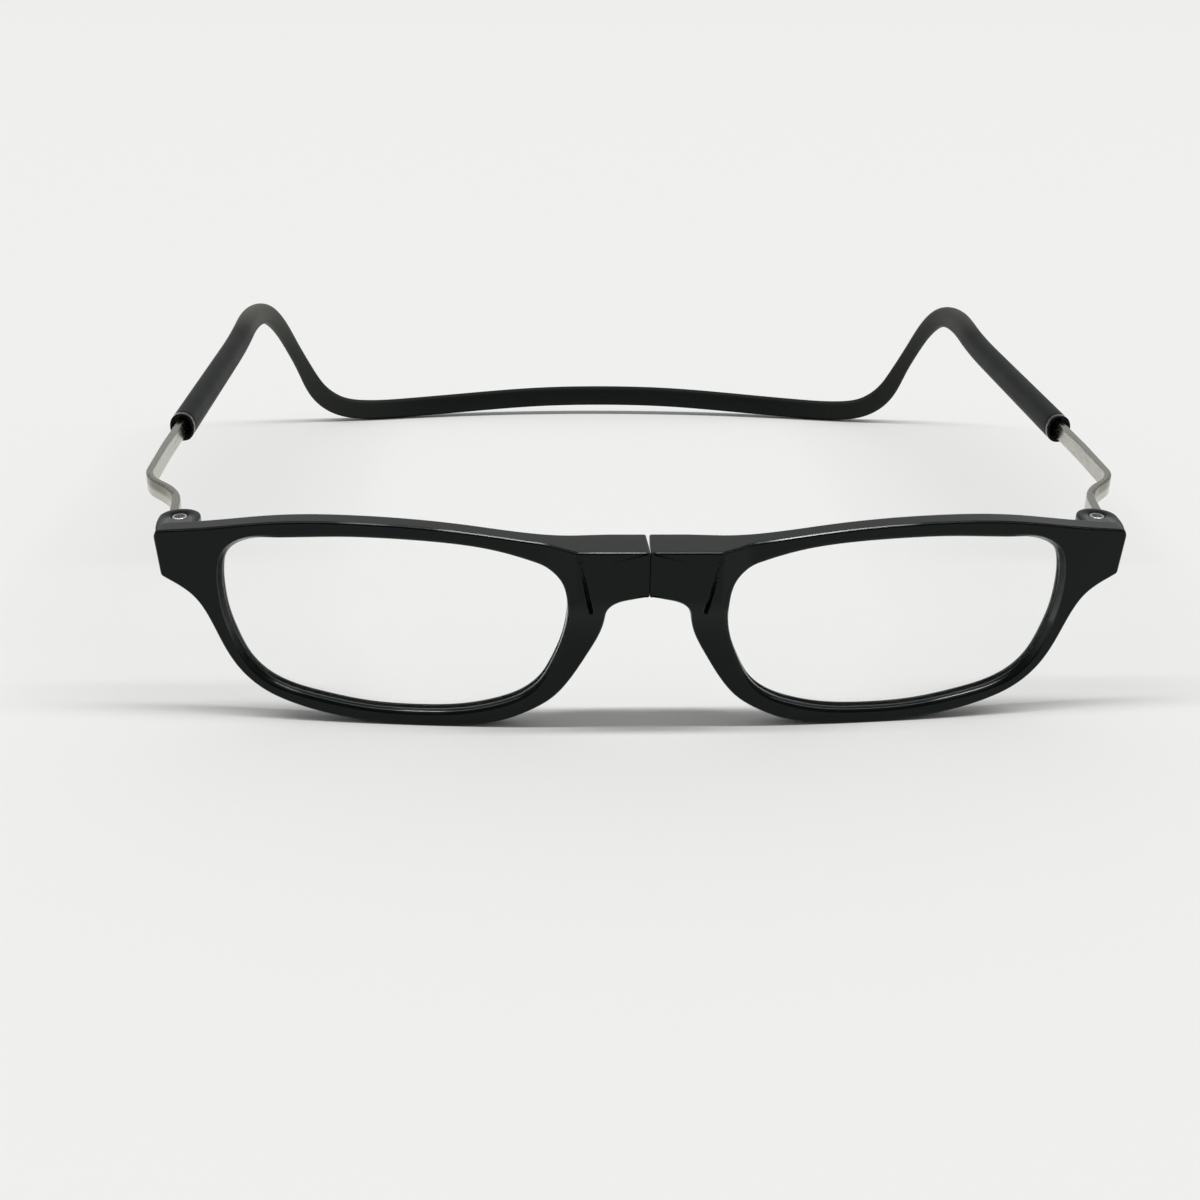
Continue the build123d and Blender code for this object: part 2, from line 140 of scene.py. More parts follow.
# %% Spline through points, and points at even steps
def spline_through(points, start=None, end=None, per_run=40):
    """Cubic through the points: p = h00 a + h10 h m0 + h01 b + h11 h m1 on each run, where the
    slopes m make the second derivative continuous; a missing end slope makes it straighten out."""
    points = np.asarray(points, float)
    run = np.linalg.norm(np.diff(points, axis=0), axis=1)[:, None]
    chord = np.diff(points, axis=0) / run
    count = len(points)
    system, right = np.zeros((count, count)), np.zeros_like(points)
    inner = np.arange(1, count - 1)
    system[inner, inner - 1] = 1 / run[:-1, 0]
    system[inner, inner] = 2 / run[:-1, 0] + 2 / run[1:, 0]
    system[inner, inner + 1] = 1 / run[1:, 0]
    right[inner] = 3 * (chord[:-1] / run[:-1] + chord[1:] / run[1:])
    for row, neighbour, slope, straight in ((0, 1, start, chord[0]), (-1, -2, end, chord[-1])):
        system[row, row] = 1 if slope is not None else 2
        system[row, neighbour] = 0 if slope is not None else 1
        right[row] = slope if slope is not None else 3 * straight
    slopes = np.linalg.solve(system, right)
    t = np.linspace(0, 1, per_run, endpoint=False)[None, :, None]
    a, b, h = points[:-1, None], points[1:, None], run[:, None]
    m0, m1 = slopes[:-1, None] * h, slopes[1:, None] * h
    line = (2 * t**3 - 3 * t**2 + 1) * a + (t**3 - 2 * t**2 + t) * m0
    line = line + (3 * t**2 - 2 * t**3) * b + (t**3 - t**2) * m1
    return np.concatenate([line.reshape(-1, points.shape[1]), points[-1:]])


def distance_along(line):
    """Length of the line up to each of its points."""
    return np.concatenate([[0], np.cumsum(np.linalg.norm(np.diff(line, axis=0), axis=1))])


def at_distances(line, wanted):
    """Points of the line at the wanted distances from its start."""
    along = distance_along(line)
    return np.stack([np.interp(wanted, along, axis) for axis in line.T], -1)


# %% [markdown]
# ## Corners that are not quite sharp
#
# A moulded corner has a radius of a few tenths of a millimetre. It could be worked out arc by
# arc. Here the outline is walked in even small steps instead, and each point becomes the mean
# of its neighbours: straight runs stay as they are, and a corner turns into a small curve.

# %% Closed outlines with small round corners
OUTLINE_STEP = 0.05


def softened_loop(line, corner):
    """Closed line at even steps, each point the mean of its neighbours within corner, twice over,
    which rounds the corners and leaves long curves where they were."""
    loop = np.concatenate([line, line[:1]])
    length = distance_along(loop)[-1]
    count = int(length / OUTLINE_STEP)
    points = at_distances(loop, np.arange(count) * length / count)
    reach = int(corner / OUTLINE_STEP)
    for _ in range(2):
        shifted = [np.roll(points, shift, axis=0) for shift in range(-reach, reach + 1)]
        points = np.mean(shifted, axis=0)
    return points


def loop_normals(points):
    """Unit normals to the right of the way round, from the difference of the neighbours."""
    run = np.roll(points, -1, axis=0) - np.roll(points, 1, axis=0)
    run /= np.linalg.norm(run, axis=1)[:, None]
    return np.stack([run[:, 1], -run[:, 0]], 1)


def smooth_step(low, high, value):
    """0 below low, 1 above high, and 3t^2 - 2t^3 between them."""
    t = np.clip((value - low) / (high - low), 0, 1)
    return t * t * (3 - 2 * t)


def soft_min(a, b, blend):
    """The smaller of two values, with the corner between them rounded over blend."""
    share = np.clip((b - a) / blend / 2 + 1 / 2, 0, 1)
    return b + (a - b) * share - blend * share * (1 - share)


def soft_max(a, b, blend):
    """The larger of two values, rounded in the same way: minus the soft_min of both turned round."""
    return -soft_min(-a, -b, blend)


# %% [markdown]
# ## Finishes
#
# Three finishes make up the whole object: black moulded plastic, worked steel and clear lens.
# The plastic of the front and of the band differ only in gloss, so what they share (a faint
# unevenness from the mould, and a little dust) is a node group with named sockets. Each
# material places the group with its own values and keeps its own shader. Where a finish
# changes along a piece, the mesh carries a mask, one number per point, and the material
# reads it: so the change follows the shape and not a picture.

# %% A node group for moulded plastic
def add_node(tree, kind, inputs, **settings):
    """A node with its settings first, and then for each input a value or an output to link."""
    node = tree.nodes.new("ShaderNode" + kind)
    for name, value in settings.items():
        setattr(node, name, value)
    for name, value in inputs.items():
        if isinstance(value, bpy.types.NodeSocket):
            tree.links.new(value, node.inputs[name])
        else:
            node.inputs[name].default_value = value
    return node


def new_group(name, inputs):
    """A node group with these inputs (four numbers make a colour, three a vector, one a plain
    number), whose outputs are a colour, a roughness and a normal."""
    group = bpy.data.node_groups.new(name, "ShaderNodeTree")
    for socket, value in inputs.items():
        kind = {4: "NodeSocketColor", 3: "NodeSocketVector"}.get(np.size(value), "NodeSocketFloat")
        made = group.interface.new_socket(socket, in_out="INPUT", socket_type=kind)
        made.default_value = value
    for socket, kind in (("Colour", "Color"), ("Roughness", "Float"), ("Normal", "Vector")):
        group.interface.new_socket(socket, in_out="OUTPUT", socket_type="NodeSocket" + kind)
    return group, group.nodes.new("NodeGroupInput").outputs, group.nodes.new("NodeGroupOutput").inputs


def moulded_group():
    """Colour = base mixed towards dust by a speck mask; roughness = base + spread times a soft
    noise; normal = bump of fine grain plus broad flow."""
    group, given, out = new_group("moulded plastic", {
        "Colour": (0.01, 0.01, 0.01, 1), "Dust colour": (0.3, 0.3, 0.28, 1), "Dust": 0.2,
        "Roughness": 0.3, "Roughness spread": 0.1, "Grain": 0.1, "Flow": 0.1})
    place = add_node(group, "TexCoord", {}).outputs["Object"]

    def noise(size_mm, detail):
        """Noise whose spots are about this many millimetres across."""
        scale = 1 / (size_mm * METRES_PER_MM)
        made = add_node(group, "TexNoise", {"Vector": place, "Scale": scale, "Detail": detail})
        return made.outputs["Fac"]

    specks, broad, fine, flow = noise(0.22, 2), noise(6, 3), noise(0.12, 2), noise(2.5, 1)
    speck_mask = add_node(group, "MapRange", {
        "Value": specks, "From Min": SPECK_SHARES[0], "From Max": SPECK_SHARES[1]})
    dusty = add_node(group, "Math", {0: speck_mask.outputs["Result"], 1: given["Dust"]},
                     operation="MULTIPLY")
    colour = add_node(group, "Mix", {"Factor": dusty.outputs["Value"], "A": given["Colour"],
                                     "B": given["Dust colour"]}, data_type="RGBA")
    centred = add_node(group, "Math", {0: broad, 1: 0.5}, operation="SUBTRACT")
    rough = add_node(group, "Math", {0: centred.outputs["Value"], 1: given["Roughness spread"],
                                     2: given["Roughness"]}, operation="MULTIPLY_ADD")
    grain = add_node(group, "Bump", {"Distance": GRAIN_HEIGHT * METRES_PER_MM,
                                     "Strength": given["Grain"], "Height": fine})
    waves = add_node(group, "Bump", {"Distance": FLOW_HEIGHT * METRES_PER_MM, "Strength": given["Flow"],
                                     "Height": flow, "Normal": grain.outputs["Normal"]})
    group.links.new(colour.outputs["Result"], out["Colour"])
    group.links.new(rough.outputs["Value"], out["Roughness"])
    group.links.new(waves.outputs["Normal"], out["Normal"])
    return group


SPECK_SHARES, GRAIN_HEIGHT, FLOW_HEIGHT = (0.71, 0.78), 0.004, 0.02
MOULDED = moulded_group()


# %% [markdown]
# ### Three black plastics
#
# The front is glossy and nearly black. The band is satin, with a painted sheen that makes it a little
# paler where it is bent over the ear. The bush in the sleeve's mouth is glossy again. All are the same
# group with other values.
#
# Buffed edges of the front mirror more than the rest of it. A mask could drive the gloss level, but that
# has to be one number when the model leaves Blender. So the mask sets the weight of a clear coat over
# the plastic. Right at the seam there is no gloss at all. The faces there have a plastic of their own,
# whose black without gloss is painted shade for the gap between the halves.

# %% Black plastics from that group
def grouped(name, group, values):
    """A material whose shader takes colour, roughness and normal from a group with these values."""
    material = bpy.data.materials.new(name)
    material.use_nodes = True
    placed = material.node_tree.nodes.new("ShaderNodeGroup")
    placed.node_tree = group
    for socket, value in values.items():
        placed.inputs[socket].default_value = value
    shader = material.node_tree.nodes["Principled BSDF"]
    for made, taken in (("Colour", "Base Color"), ("Roughness", "Roughness"), ("Normal", "Normal")):
        material.node_tree.links.new(placed.outputs[made], shader.inputs[taken])
    return material, shader


def plastic(name, colour, roughness, specular, values):
    """Black plastic: group values on the group, the uniform gloss on the shader's own socket."""
    material, shader = grouped(name, MOULDED, {"Colour": (*colour, 1), "Roughness": roughness, **values})
    shader.inputs["Specular IOR Level"].default_value = specular
    shader.inputs["Specular Tint"].default_value = (*GREEN_GLOSS, 1)
    return material


def read_mask(material, name, high=1):
    """A value that goes from 0 to high with a mask of the mesh."""
    mask = add_node(material.node_tree, "Attribute", {}, attribute_name=name)
    ramp = add_node(material.node_tree, "MapRange", {"Value": mask.outputs["Fac"], "To Max": high})
    return ramp.outputs["Result"]


def mix_by_mask(material, name, colour):
    """The group's colour goes over into another one with a mask of the mesh."""
    placed = next(node for node in material.node_tree.nodes if node.type == "GROUP").inputs["Colour"]
    mix = add_node(material.node_tree, "Mix", {
        "Factor": read_mask(material, name), "A": placed.default_value, "B": (*colour, 1)},
        data_type="RGBA")
    material.node_tree.links.new(mix.outputs["Result"], placed)


GREEN_GLOSS = (0.86, 1.0, 0.97)
FRONT_BLACK, FRONT_ROUGHNESS, BUFFED_COAT, BUFFED_IOR = (0.0036, 0.0046, 0.0044), 0.12, 0.82, 1.8
FRONT_SURFACE = {"Dust": 0.12, "Roughness spread": 0.1, "Grain": 0.12, "Flow": 0.1}
# Painted shade: the seam strip gets a plastic without gloss, so it stays black like a shaded gap.
SEAM_SHADE_PLASTIC = plastic("seam plastic", FRONT_BLACK, FRONT_ROUGHNESS, 0, FRONT_SURFACE)
FRONT_PLASTIC = plastic("front plastic", FRONT_BLACK, FRONT_ROUGHNESS, 0.16, FRONT_SURFACE)
front_shader = FRONT_PLASTIC.node_tree.nodes["Principled BSDF"]
front_shader.inputs["Coat Roughness"].default_value = FRONT_ROUGHNESS
front_shader.inputs["Coat IOR"].default_value = BUFFED_IOR
FRONT_PLASTIC.node_tree.links.new(read_mask(FRONT_PLASTIC, "polish", BUFFED_COAT),
                                  front_shader.inputs["Coat Weight"])
BAND_PLASTIC = plastic("band plastic", (0.0092, 0.0102, 0.0096), 0.48, 0.1,
                       {"Dust": 0.15, "Roughness spread": 0.12, "Grain": 0.35, "Flow": 0.15})
# Painted sheen: a mask makes the band's colour paler where it goes over the ear, standing in for the
# light it catches there.
mix_by_mask(BAND_PLASTIC, "painted_sheen", (0.092, 0.095, 0.083))
BUSH_PLASTIC = plastic("bush plastic", (0.004, 0.004, 0.004), 0.12, 0.14,
                       {"Dust": 0.05, "Roughness spread": 0.05, "Grain": 0.05, "Flow": 0.05})


# %% [markdown]
# ### Worked metal
#
# Temple bars are rolled and brushed along their length, screws and inserts are turned. All of
# them show fine lines. Lines could be drawn one by one, but a noise that is squeezed across
# the brushing and stretched along it gives them at once, and the same group serves for all
# metals when the stretch is one of its inputs.

# %% A node group for turned and brushed metal
def metal_group():
    """Lines of grain: noise squeezed across the brushing and stretched along it, which shades
    the colour and the roughness and lifts the normal a little."""
    group, given, out = new_group("worked metal", {
        "Colour": (0.6, 0.6, 0.6, 1), "Line colour": (0.3, 0.3, 0.3, 1), "Roughness": 0.3,
        "Roughness spread": 0.2, "Squeeze": (1, 0.05, 1), "Lift": 0.2})
    place = add_node(group, "TexCoord", {})
    squeeze = add_node(group, "VectorMath", {0: place.outputs["Object"], 1: given["Squeeze"]},
                       operation="MULTIPLY")
    lines = add_node(group, "TexNoise", {"Vector": squeeze.outputs["Vector"], "Detail": 4,
                                         "Scale": 1 / (LINE_WIDTH * METRES_PER_MM)}).outputs["Fac"]
    strength = add_node(group, "MapRange", {
        "Value": lines, "From Min": LINE_SHARES[0], "From Max": LINE_SHARES[1]}).outputs["Result"]
    colour = add_node(group, "Mix", {"Factor": strength, "A": given["Colour"],
                                     "B": given["Line colour"]}, data_type="RGBA")
    rough = add_node(group, "Math", {0: strength, 1: given["Roughness spread"],
                                     2: given["Roughness"]}, operation="MULTIPLY_ADD")
    bump = add_node(group, "Bump", {"Distance": GRAIN_HEIGHT * METRES_PER_MM,
                                    "Strength": given["Lift"], "Height": lines})
    group.links.new(colour.outputs["Result"], out["Colour"])
    group.links.new(rough.outputs["Value"], out["Roughness"])
    group.links.new(bump.outputs["Normal"], out["Normal"])
    return group


LINE_WIDTH, LINE_SHARES = 0.12, (0.35, 0.75)
WORKED_METAL = metal_group()


def metal(name, colour, line_colour, roughness, spread, squeeze, lift):
    """Metal: the group's grain, with Metallic 1 on the shader's own socket."""
    material, shader = grouped(name, WORKED_METAL, {
        "Colour": (*colour, 1), "Line colour": (*line_colour, 1), "Roughness": roughness,
        "Roughness spread": spread, "Squeeze": squeeze, "Lift": lift})
    shader.inputs["Metallic"].default_value = 1
    return material


BAR_STEEL = metal("bar steel", (0.54, 0.53, 0.48), (0.36, 0.35, 0.31), 0.16, 0.14, (1, 0.03, 1), 0.3)
# Painted shade: a mask darkens the bar's colour on its top and on the upper outer side at the bends.
mix_by_mask(BAR_STEEL, "painted_shade", (0.09, 0.087, 0.065))
SCREW_STEEL = metal("screw steel", (0.07, 0.07, 0.07), (0.04, 0.04, 0.04), 0.2, 0.15, (1, 1, 1), 0.2)
# Painted highlight: a mask lightens the screw's colour on its rim and along the edges of its cross.
mix_by_mask(SCREW_STEEL, "painted_glint", (0.85, 0.85, 0.84))
MAGNET_PLATE = metal("magnet plating", (0.78, 0.78, 0.8), (0.6, 0.6, 0.62), 0.18, 0.1, (1, 1, 1), 0.1)
INSERT_BRASS = metal("insert brass", (0.75, 0.56, 0.27), (0.5, 0.36, 0.16), 0.28, 0.2, (1, 1, 0.1), 0.4)


# %% [markdown]
# ### Clear lens
#
# A lens is clear because light goes through it, so it is made with transmission and not with
# alpha. A path tracer would then darken the table behind the lens, since a shadow ray stops
# at glass. Real spectacle lenses cast nearly no shadow, so shadow rays pass here.

# %% Clear lens
def lens_material():
    """Clear glass by transmission. For shadow rays it is transparent, because light goes through
    a thin lens and the table behind it stays as bright as beside it."""
    material = bpy.data.materials.new("clear lens")
    material.use_nodes = True
    tree = material.node_tree
    shader = tree.nodes["Principled BSDF"]
    for socket, value in (("Base Color", (0.985, 0.99, 0.985, 1)), ("Roughness", 0.0), ("IOR", 1.5),
                          ("Transmission Weight", 1)):
        shader.inputs[socket].default_value = value
    clear = add_node(tree, "BsdfTransparent", {"Color": (0.97, 0.97, 0.97, 1)})
    mix = add_node(tree, "MixShader", {"Fac": add_node(tree, "LightPath", {}).outputs["Is Shadow Ray"],
                                       1: shader.outputs["BSDF"], 2: clear.outputs["BSDF"]})
    tree.links.new(mix.outputs["Shader"], tree.nodes["Material Output"].inputs["Surface"])
    return material


CLEAR_LENS = lens_material()

# %% [markdown]
# ## The shape of a front half
#
# A front half is one moulding: a rim round the lens, half of the thick bridge, and the end
# piece with the hinge lug. It could be cut from a slab with booleans, as the CAD does, but
# then every edge is knife sharp. Here the rim is a ring surface instead: columns go round the
# opening, and rows go once round the section (front face, outer wall, back face, inner wall)
# with a small arc at each of the four edges. Everything else is a displacement of that ring.

# %% Sizes of the front
LENS_WIDTH, LENS_HEIGHT = 51.3, 28.4
NOSE_HALF_GAP = 12.0
TOP_BAND, BOTTOM_BAND, NOSE_BAND, OUTER_BAND = 2.45, 2.45, 5.2, 3.2
WRAP_DEPTH, RIM_DEPTH = 6.0, 3.3
END_LENGTH, END_DROP, END_TOP_STEP, END_DRAFT = 9.7, 7.2, 2.8, 0.5
END_CHAMFER, END_CHAMFER_DROP = 0.4, 0.9
BRIDGE_HEIGHT, BRIDGE_DEPTH, BRIDGE_PROUD, BRIDGE_TOP_STEP = 7.1, 7.5, 2.5, 2.8
BRIDGE_HALF_WIDTH, BRIDGE_RAMP, BRIDGE_BACK_FLAT, BRIDGE_BACK_RAMP = 10.4, 6.1, 6.0, 16.0
BRIDGE_FOOT, BRIDGE_BURY = 8.6, 0.8
SEAM_FRONT_GAP, SEAM_BACK_GAP = 0.008, 0.46

FRONT_Y = cad_box[0][1] / METRES_PER_MM
APEX_Y = FRONT_Y + BRIDGE_PROUD
TIP_Y = APEX_Y + WRAP_DEPTH
BRIDGE_BACK_Y = FRONT_Y + BRIDGE_DEPTH
FRONT_HEIGHT = BOTTOM_BAND + LENS_HEIGHT + TOP_BAND
BRIDGE_TOP = FRONT_HEIGHT - BRIDGE_TOP_STEP
BRIDGE_BOTTOM = BRIDGE_TOP - BRIDGE_HEIGHT
RIM_INNER_X = NOSE_HALF_GAP - NOSE_BAND
RIM_OUTER_X = NOSE_HALF_GAP + LENS_WIDTH + OUTER_BAND
TIP_X = NOSE_HALF_GAP + LENS_WIDTH + END_LENGTH
END_TOP = FRONT_HEIGHT - END_TOP_STEP
END_BOTTOM = END_TOP - END_DROP
WRAP_RADIUS = (TIP_X**2 + WRAP_DEPTH**2) / (2 * WRAP_DEPTH)
print("front from", round(FRONT_Y, 1), "to tips at", round(TIP_Y, 1), "wrap radius", round(WRAP_RADIUS))


# %% [markdown]
# ### Two outlines
#
# The front view of a half is two closed lines: the opening for the lens and the outer edge,
# which takes in rim, nose flange, bridge and end piece. Their points are given as shares of a
# box, so the same form can be made wider or higher without touching the points.

# %% The two outlines, from shares of the opening and of the rim's box
LENS_SHARES = [
    (0.595, 1.0), (0.819, 0.98), (0.926, 0.95), (0.977, 0.886), (0.996, 0.794), (1.0, 0.671),
    (0.992, 0.526), (0.971, 0.393), (0.94, 0.266), (0.895, 0.174), (0.828, 0.106), (0.733, 0.058),
    (0.589, 0.012), (0.439, 0.0), (0.312, 0.012), (0.214, 0.049), (0.136, 0.106), (0.082, 0.188),
    (0.045, 0.305), (0.018, 0.428), (0.002, 0.562), (0.0, 0.688), (0.02, 0.808), (0.09, 0.882),
    (0.206, 0.945), (0.39, 0.988), (0.595, 1.0),
]
RIM_LOW_SHARES = [
    (0.005, 0.494), (0.038, 0.373), (0.081, 0.246), (0.123, 0.157), (0.186, 0.083), (0.245, 0.038),
    (0.322, 0.011), (0.456, 0.0), (0.581, 0.009), (0.665, 0.029), (0.778, 0.08), (0.868, 0.157),
    (0.928, 0.267), (0.964, 0.394), (0.996, 0.533),
]
RIM_TOP_SHARES = [(0.99, 0.941), (0.81, 0.986), (0.59, 1.0), (0.37, 0.977), (0.225, 0.944)]
NOSE_ROOF_SHARES = np.array([(0.407, 0.079), (0.688, 0.173), (0.857, 0.36), (0.906, 0.604)])
END_UNDER_SHARES = np.array([(0.17, 0.32), (0.36, 0.55), (0.62, 0.76)])
OUTER_CORNER, INNER_CORNER = 0.28, 0.1


def in_box(shares, corner, size):
    """Shares of a box's width and height, placed."""
    return np.array(corner) + np.array(shares) * np.array(size)


def opening_outline():
    """The lens opening, turned so that it runs from the nose down, as the outer outline does."""
    points = in_box(LENS_SHARES, (NOSE_HALF_GAP, BOTTOM_BAND), (LENS_WIDTH, LENS_HEIGHT))
    return softened_loop(spline_through(points, (1, 0), (1, 0))[::-1], INNER_CORNER)


def outer_outline():
    """From the foot of the seam round the nose, along the bottom, round the end and back."""
    rim_size = (RIM_OUTER_X - RIM_INNER_X, FRONT_HEIGHT)
    low = in_box(RIM_LOW_SHARES, (RIM_INNER_X, 0), rim_size)
    top = in_box(RIM_TOP_SHARES, (RIM_INNER_X, 0), rim_size)
    roof = in_box(NOSE_ROOF_SHARES, (0, BRIDGE_BOTTOM), (low[0, 0], low[0, 1] - BRIDGE_BOTTOM))
    end_low = np.array((TIP_X - END_DRAFT, END_BOTTOM))
    under = in_box(END_UNDER_SHARES, low[-1], end_low - low[-1])
    below = spline_through(np.concatenate([[(0, BRIDGE_BOTTOM)], roof, low, under]))
    corner_top = (TIP_X - END_CHAMFER, END_TOP)
    slope = np.array((-1, END_TOP_STEP / END_LENGTH / 2))
    above = spline_through(np.concatenate([[corner_top], top, [(BRIDGE_HALF_WIDTH, BRIDGE_TOP)]]),
                           slope / np.linalg.norm(slope), (-1, 0))
    tip = [end_low, (TIP_X, END_TOP - END_CHAMFER_DROP)]
    return softened_loop(np.concatenate([below, tip, above, [(0, BRIDGE_TOP)]]), OUTER_CORNER)


OPENING, OUTER = opening_outline(), outer_outline()
OPENING_NORMAL, OUTER_NORMAL = loop_normals(OPENING), loop_normals(OUTER)
print("round the opening and the outline, mm:", round(len(OPENING) * OUTLINE_STEP),
      round(len(OUTER) * OUTLINE_STEP))

# %% [markdown]
# ### Where the columns go
#
# The outer outline is longer than the opening and has corners, so equal angles would crowd
# the columns in one place and starve another. Instead the columns are spread along the outer
# outline, closer where it turns sharply and near the bridge, and a few pairs of places that
# face each other across the rim say where each column ends on the opening.

# %% Columns across the rim
COLUMNS = 620
TURN_WEIGHT, BRIDGE_WEIGHT, BRIDGE_END = 1.6, 1.1, (12, 18)
FACING_PAIRS = [
    ((0, 23.8), (12.1, 22.0)), ((7.2, 16.5), (12.25, 17.0)), ((16.0, 4.0), (17.6, 7.0)),
    ((34.0, 0), (35.5, 2.2)), ((60.0, 7.5), (56.5, 7.4)), ((66.2, 17.6), (62.3, 17.0)),
    ((72.3, 23.6), (63.1, 23.2)), ((72.6, 30.2), (62.5, 28.6)), ((58.0, 32.4), (56.6, 30.4)),
    ((42.0, 33.3), (42.5, 31.2)), ((10.4, 30.5), (19.0, 28.7)), ((0, 30.5), (13.6, 26.0)),
]


def nearest(loop, place):
    """Number of the loop's point that is nearest to a place."""
    return int(np.argmin(np.linalg.norm(loop - np.array(place), axis=1)))


def column_places():
    """Indices into both outlines for every column, as real numbers."""
    turn = np.abs(np.sum(np.roll(OUTER_NORMAL, -1, axis=0) * OUTER_NORMAL[:, ::-1] * [1, -1], axis=1))
    near_bridge = 1 - smooth_step(*BRIDGE_END, OUTER[:, 0])
    weight = OUTLINE_STEP * (1 + BRIDGE_WEIGHT * near_bridge) + TURN_WEIGHT * turn
    total = np.concatenate([[0], np.cumsum(weight)])
    outer = np.interp(np.arange(COLUMNS) * total[-1] / COLUMNS, total, np.arange(len(total)))
    pairs = [(nearest(OUTER, a), nearest(OPENING, b)) for a, b in FACING_PAIRS]
    pairs[0] = (0, pairs[0][1])
    inner_start = pairs[0][1]
    outer_marks = [a for a, _ in pairs] + [len(OUTER)]
    inner_marks = [(b - inner_start) % len(OPENING) for _, b in pairs] + [len(OPENING)]
    assert np.all(np.diff(outer_marks) > 0) and np.all(np.diff(inner_marks) > 0)
    inner = np.interp(outer, outer_marks, inner_marks) + inner_start
    return outer, inner % len(OPENING)


def pick(loop, places):
    """Values of a closed loop between its points."""
    low = np.floor(places).astype(int) % len(loop)
    share = (places % 1)[:, None]
    return loop[low] * (1 - share) + loop[(low + 1) % len(loop)] * share


OUTER_PLACES, INNER_PLACES = column_places()
outer_line, outer_out = pick(OUTER, OUTER_PLACES), pick(OUTER_NORMAL, OUTER_PLACES)
inner_line, inner_out = pick(OPENING, INNER_PLACES), pick(OPENING_NORMAL, INNER_PLACES)
print(COLUMNS, "columns, widest rim", round(np.linalg.norm(outer_line - inner_line, axis=1).max(), 1))

# %% [markdown]
# ### Front and back as heights over the front view
#
# Seen from above, the front follows a wide arc. The bridge stands 2.5 mm proud of it as a
# flat-faced block that ramps back sideways and downwards, and a narrow crease separates block
# and rim. The back carries the low flange that bears on the nose. Each is a height over the
# front view, so they can be added, and the smaller or larger of two of them makes an edge.

# %% Heights of front and back
CREASE_WIDTH, CREASE_LENGTH, CREASE_LEAN, CREASE_DEPTH = 0.56, 9.4, 1.95, 1.2
FLANGE_WALL, FLANGE_REACH, FLANGE_LOW, FLANGE_HIGH = 2.3, 2.6, 4.5, 20.0
FLANGE_END, RAMP_BLEND = (16, 20), 0.2
BLOCK_BLEND, FOOT_BLEND, BACK_BLEND = 0.5, 1.6, 1.2


def wrap_y(x, depth=0):
    """Arc of the front: apex + R - sqrt((R - depth)^2 - x^2)."""
    return APEX_Y + WRAP_RADIUS - np.sqrt((WRAP_RADIUS - depth) ** 2 - x**2)


def crease_mask(x, z):
    """1 within half the crease's width of its middle line, which leans inwards downwards."""
    start = np.array((BRIDGE_HALF_WIDTH, BRIDGE_TOP - CREASE_WIDTH))
    run = np.array((-CREASE_LEAN, -CREASE_LENGTH))
    t = np.clip(((x - start[0]) * run[0] + (z - start[1]) * run[1]) / (run @ run), 0, 1)
    away = np.hypot(x - start[0] - t * run[0], z - start[1] - t * run[1])
    width = CREASE_WIDTH * (0.45 + 0.55 * t) * (1 - smooth_step(0.86, 1, t) * 0.45)
    return 1 - smooth_step(width / 2 - 0.16, width / 2 + 0.1, away)


def ramp(run, blend):
    """Starts level at run 0 and turns over blend into a straight slope: run^2 / (run + blend)."""
    run = np.maximum(run, 0)
    return run * run / (run + blend)


def front_y(x, z):
    """The arc, or the block in front of it where that stands proud, less the crease."""
    arc = wrap_y(x)
    ramp_x = BRIDGE_HALF_WIDTH + BRIDGE_RAMP
    slope = (wrap_y(ramp_x) + BRIDGE_BURY - FRONT_Y) / BRIDGE_RAMP
    plan = ramp(x - BRIDGE_HALF_WIDTH, RAMP_BLEND) * slope
    fall = (APEX_Y + BRIDGE_BURY - FRONT_Y) / (BRIDGE_FOOT - CREASE_DEPTH)
    side = ramp(BRIDGE_BOTTOM - z, FOOT_BLEND) * fall
    low = 1 - smooth_step(BRIDGE_BOTTOM - 5, BRIDGE_BOTTOM + 1, z)
    blend = BLOCK_BLEND + (FOOT_BLEND - BLOCK_BLEND) * low
    block = FRONT_Y + (plan**4 + side**4) ** (1 / 4)
    sunk = CREASE_DEPTH * np.clip((BRIDGE_TOP - z) / CREASE_LENGTH, 0, 1)
    return np.maximum(soft_min(arc, block, blend), FRONT_Y) + sunk * crease_mask(x, z)


def back_y(x, z, from_edge):
    """The inner arc, or the block's back, and the nose flange along the outer edge."""
    arc = wrap_y(x, RIM_DEPTH)
    ramp_x = BRIDGE_BACK_FLAT + BRIDGE_BACK_RAMP
    slope = (BRIDGE_BACK_Y - wrap_y(ramp_x, RIM_DEPTH) + BRIDGE_BURY) / BRIDGE_BACK_RAMP
    plan = BRIDGE_BACK_Y - np.maximum(x - BRIDGE_BACK_FLAT, 0) * slope
    fall = (BRIDGE_BACK_Y - wrap_y(0, RIM_DEPTH) + BRIDGE_BURY) / BRIDGE_FOOT
    side = BRIDGE_BACK_Y - np.maximum(BRIDGE_BOTTOM - z, 0) * fall
    block = soft_min(plan, side, BACK_BLEND)
    body = np.minimum(soft_max(arc, block, BACK_BLEND), BRIDGE_BACK_Y)
    middle, half = (FLANGE_LOW + FLANGE_HIGH) / 2, (FLANGE_HIGH - FLANGE_LOW) / 2
    arch = FLANGE_REACH * np.clip(1 - ((z - middle) / half) ** 2, 0, 1)
    near_edge = 1 - smooth_step(FLANGE_WALL - 0.9, FLANGE_WALL + 0.1, from_edge)
    near_nose = 1 - smooth_step(*FLANGE_END, x)
    flange = wrap_y(RIM_INNER_X, RIM_DEPTH) + arch
    return np.where(x < TIP_X / 2, body + np.maximum(flange - body, 0) * near_edge * near_nose, arc)


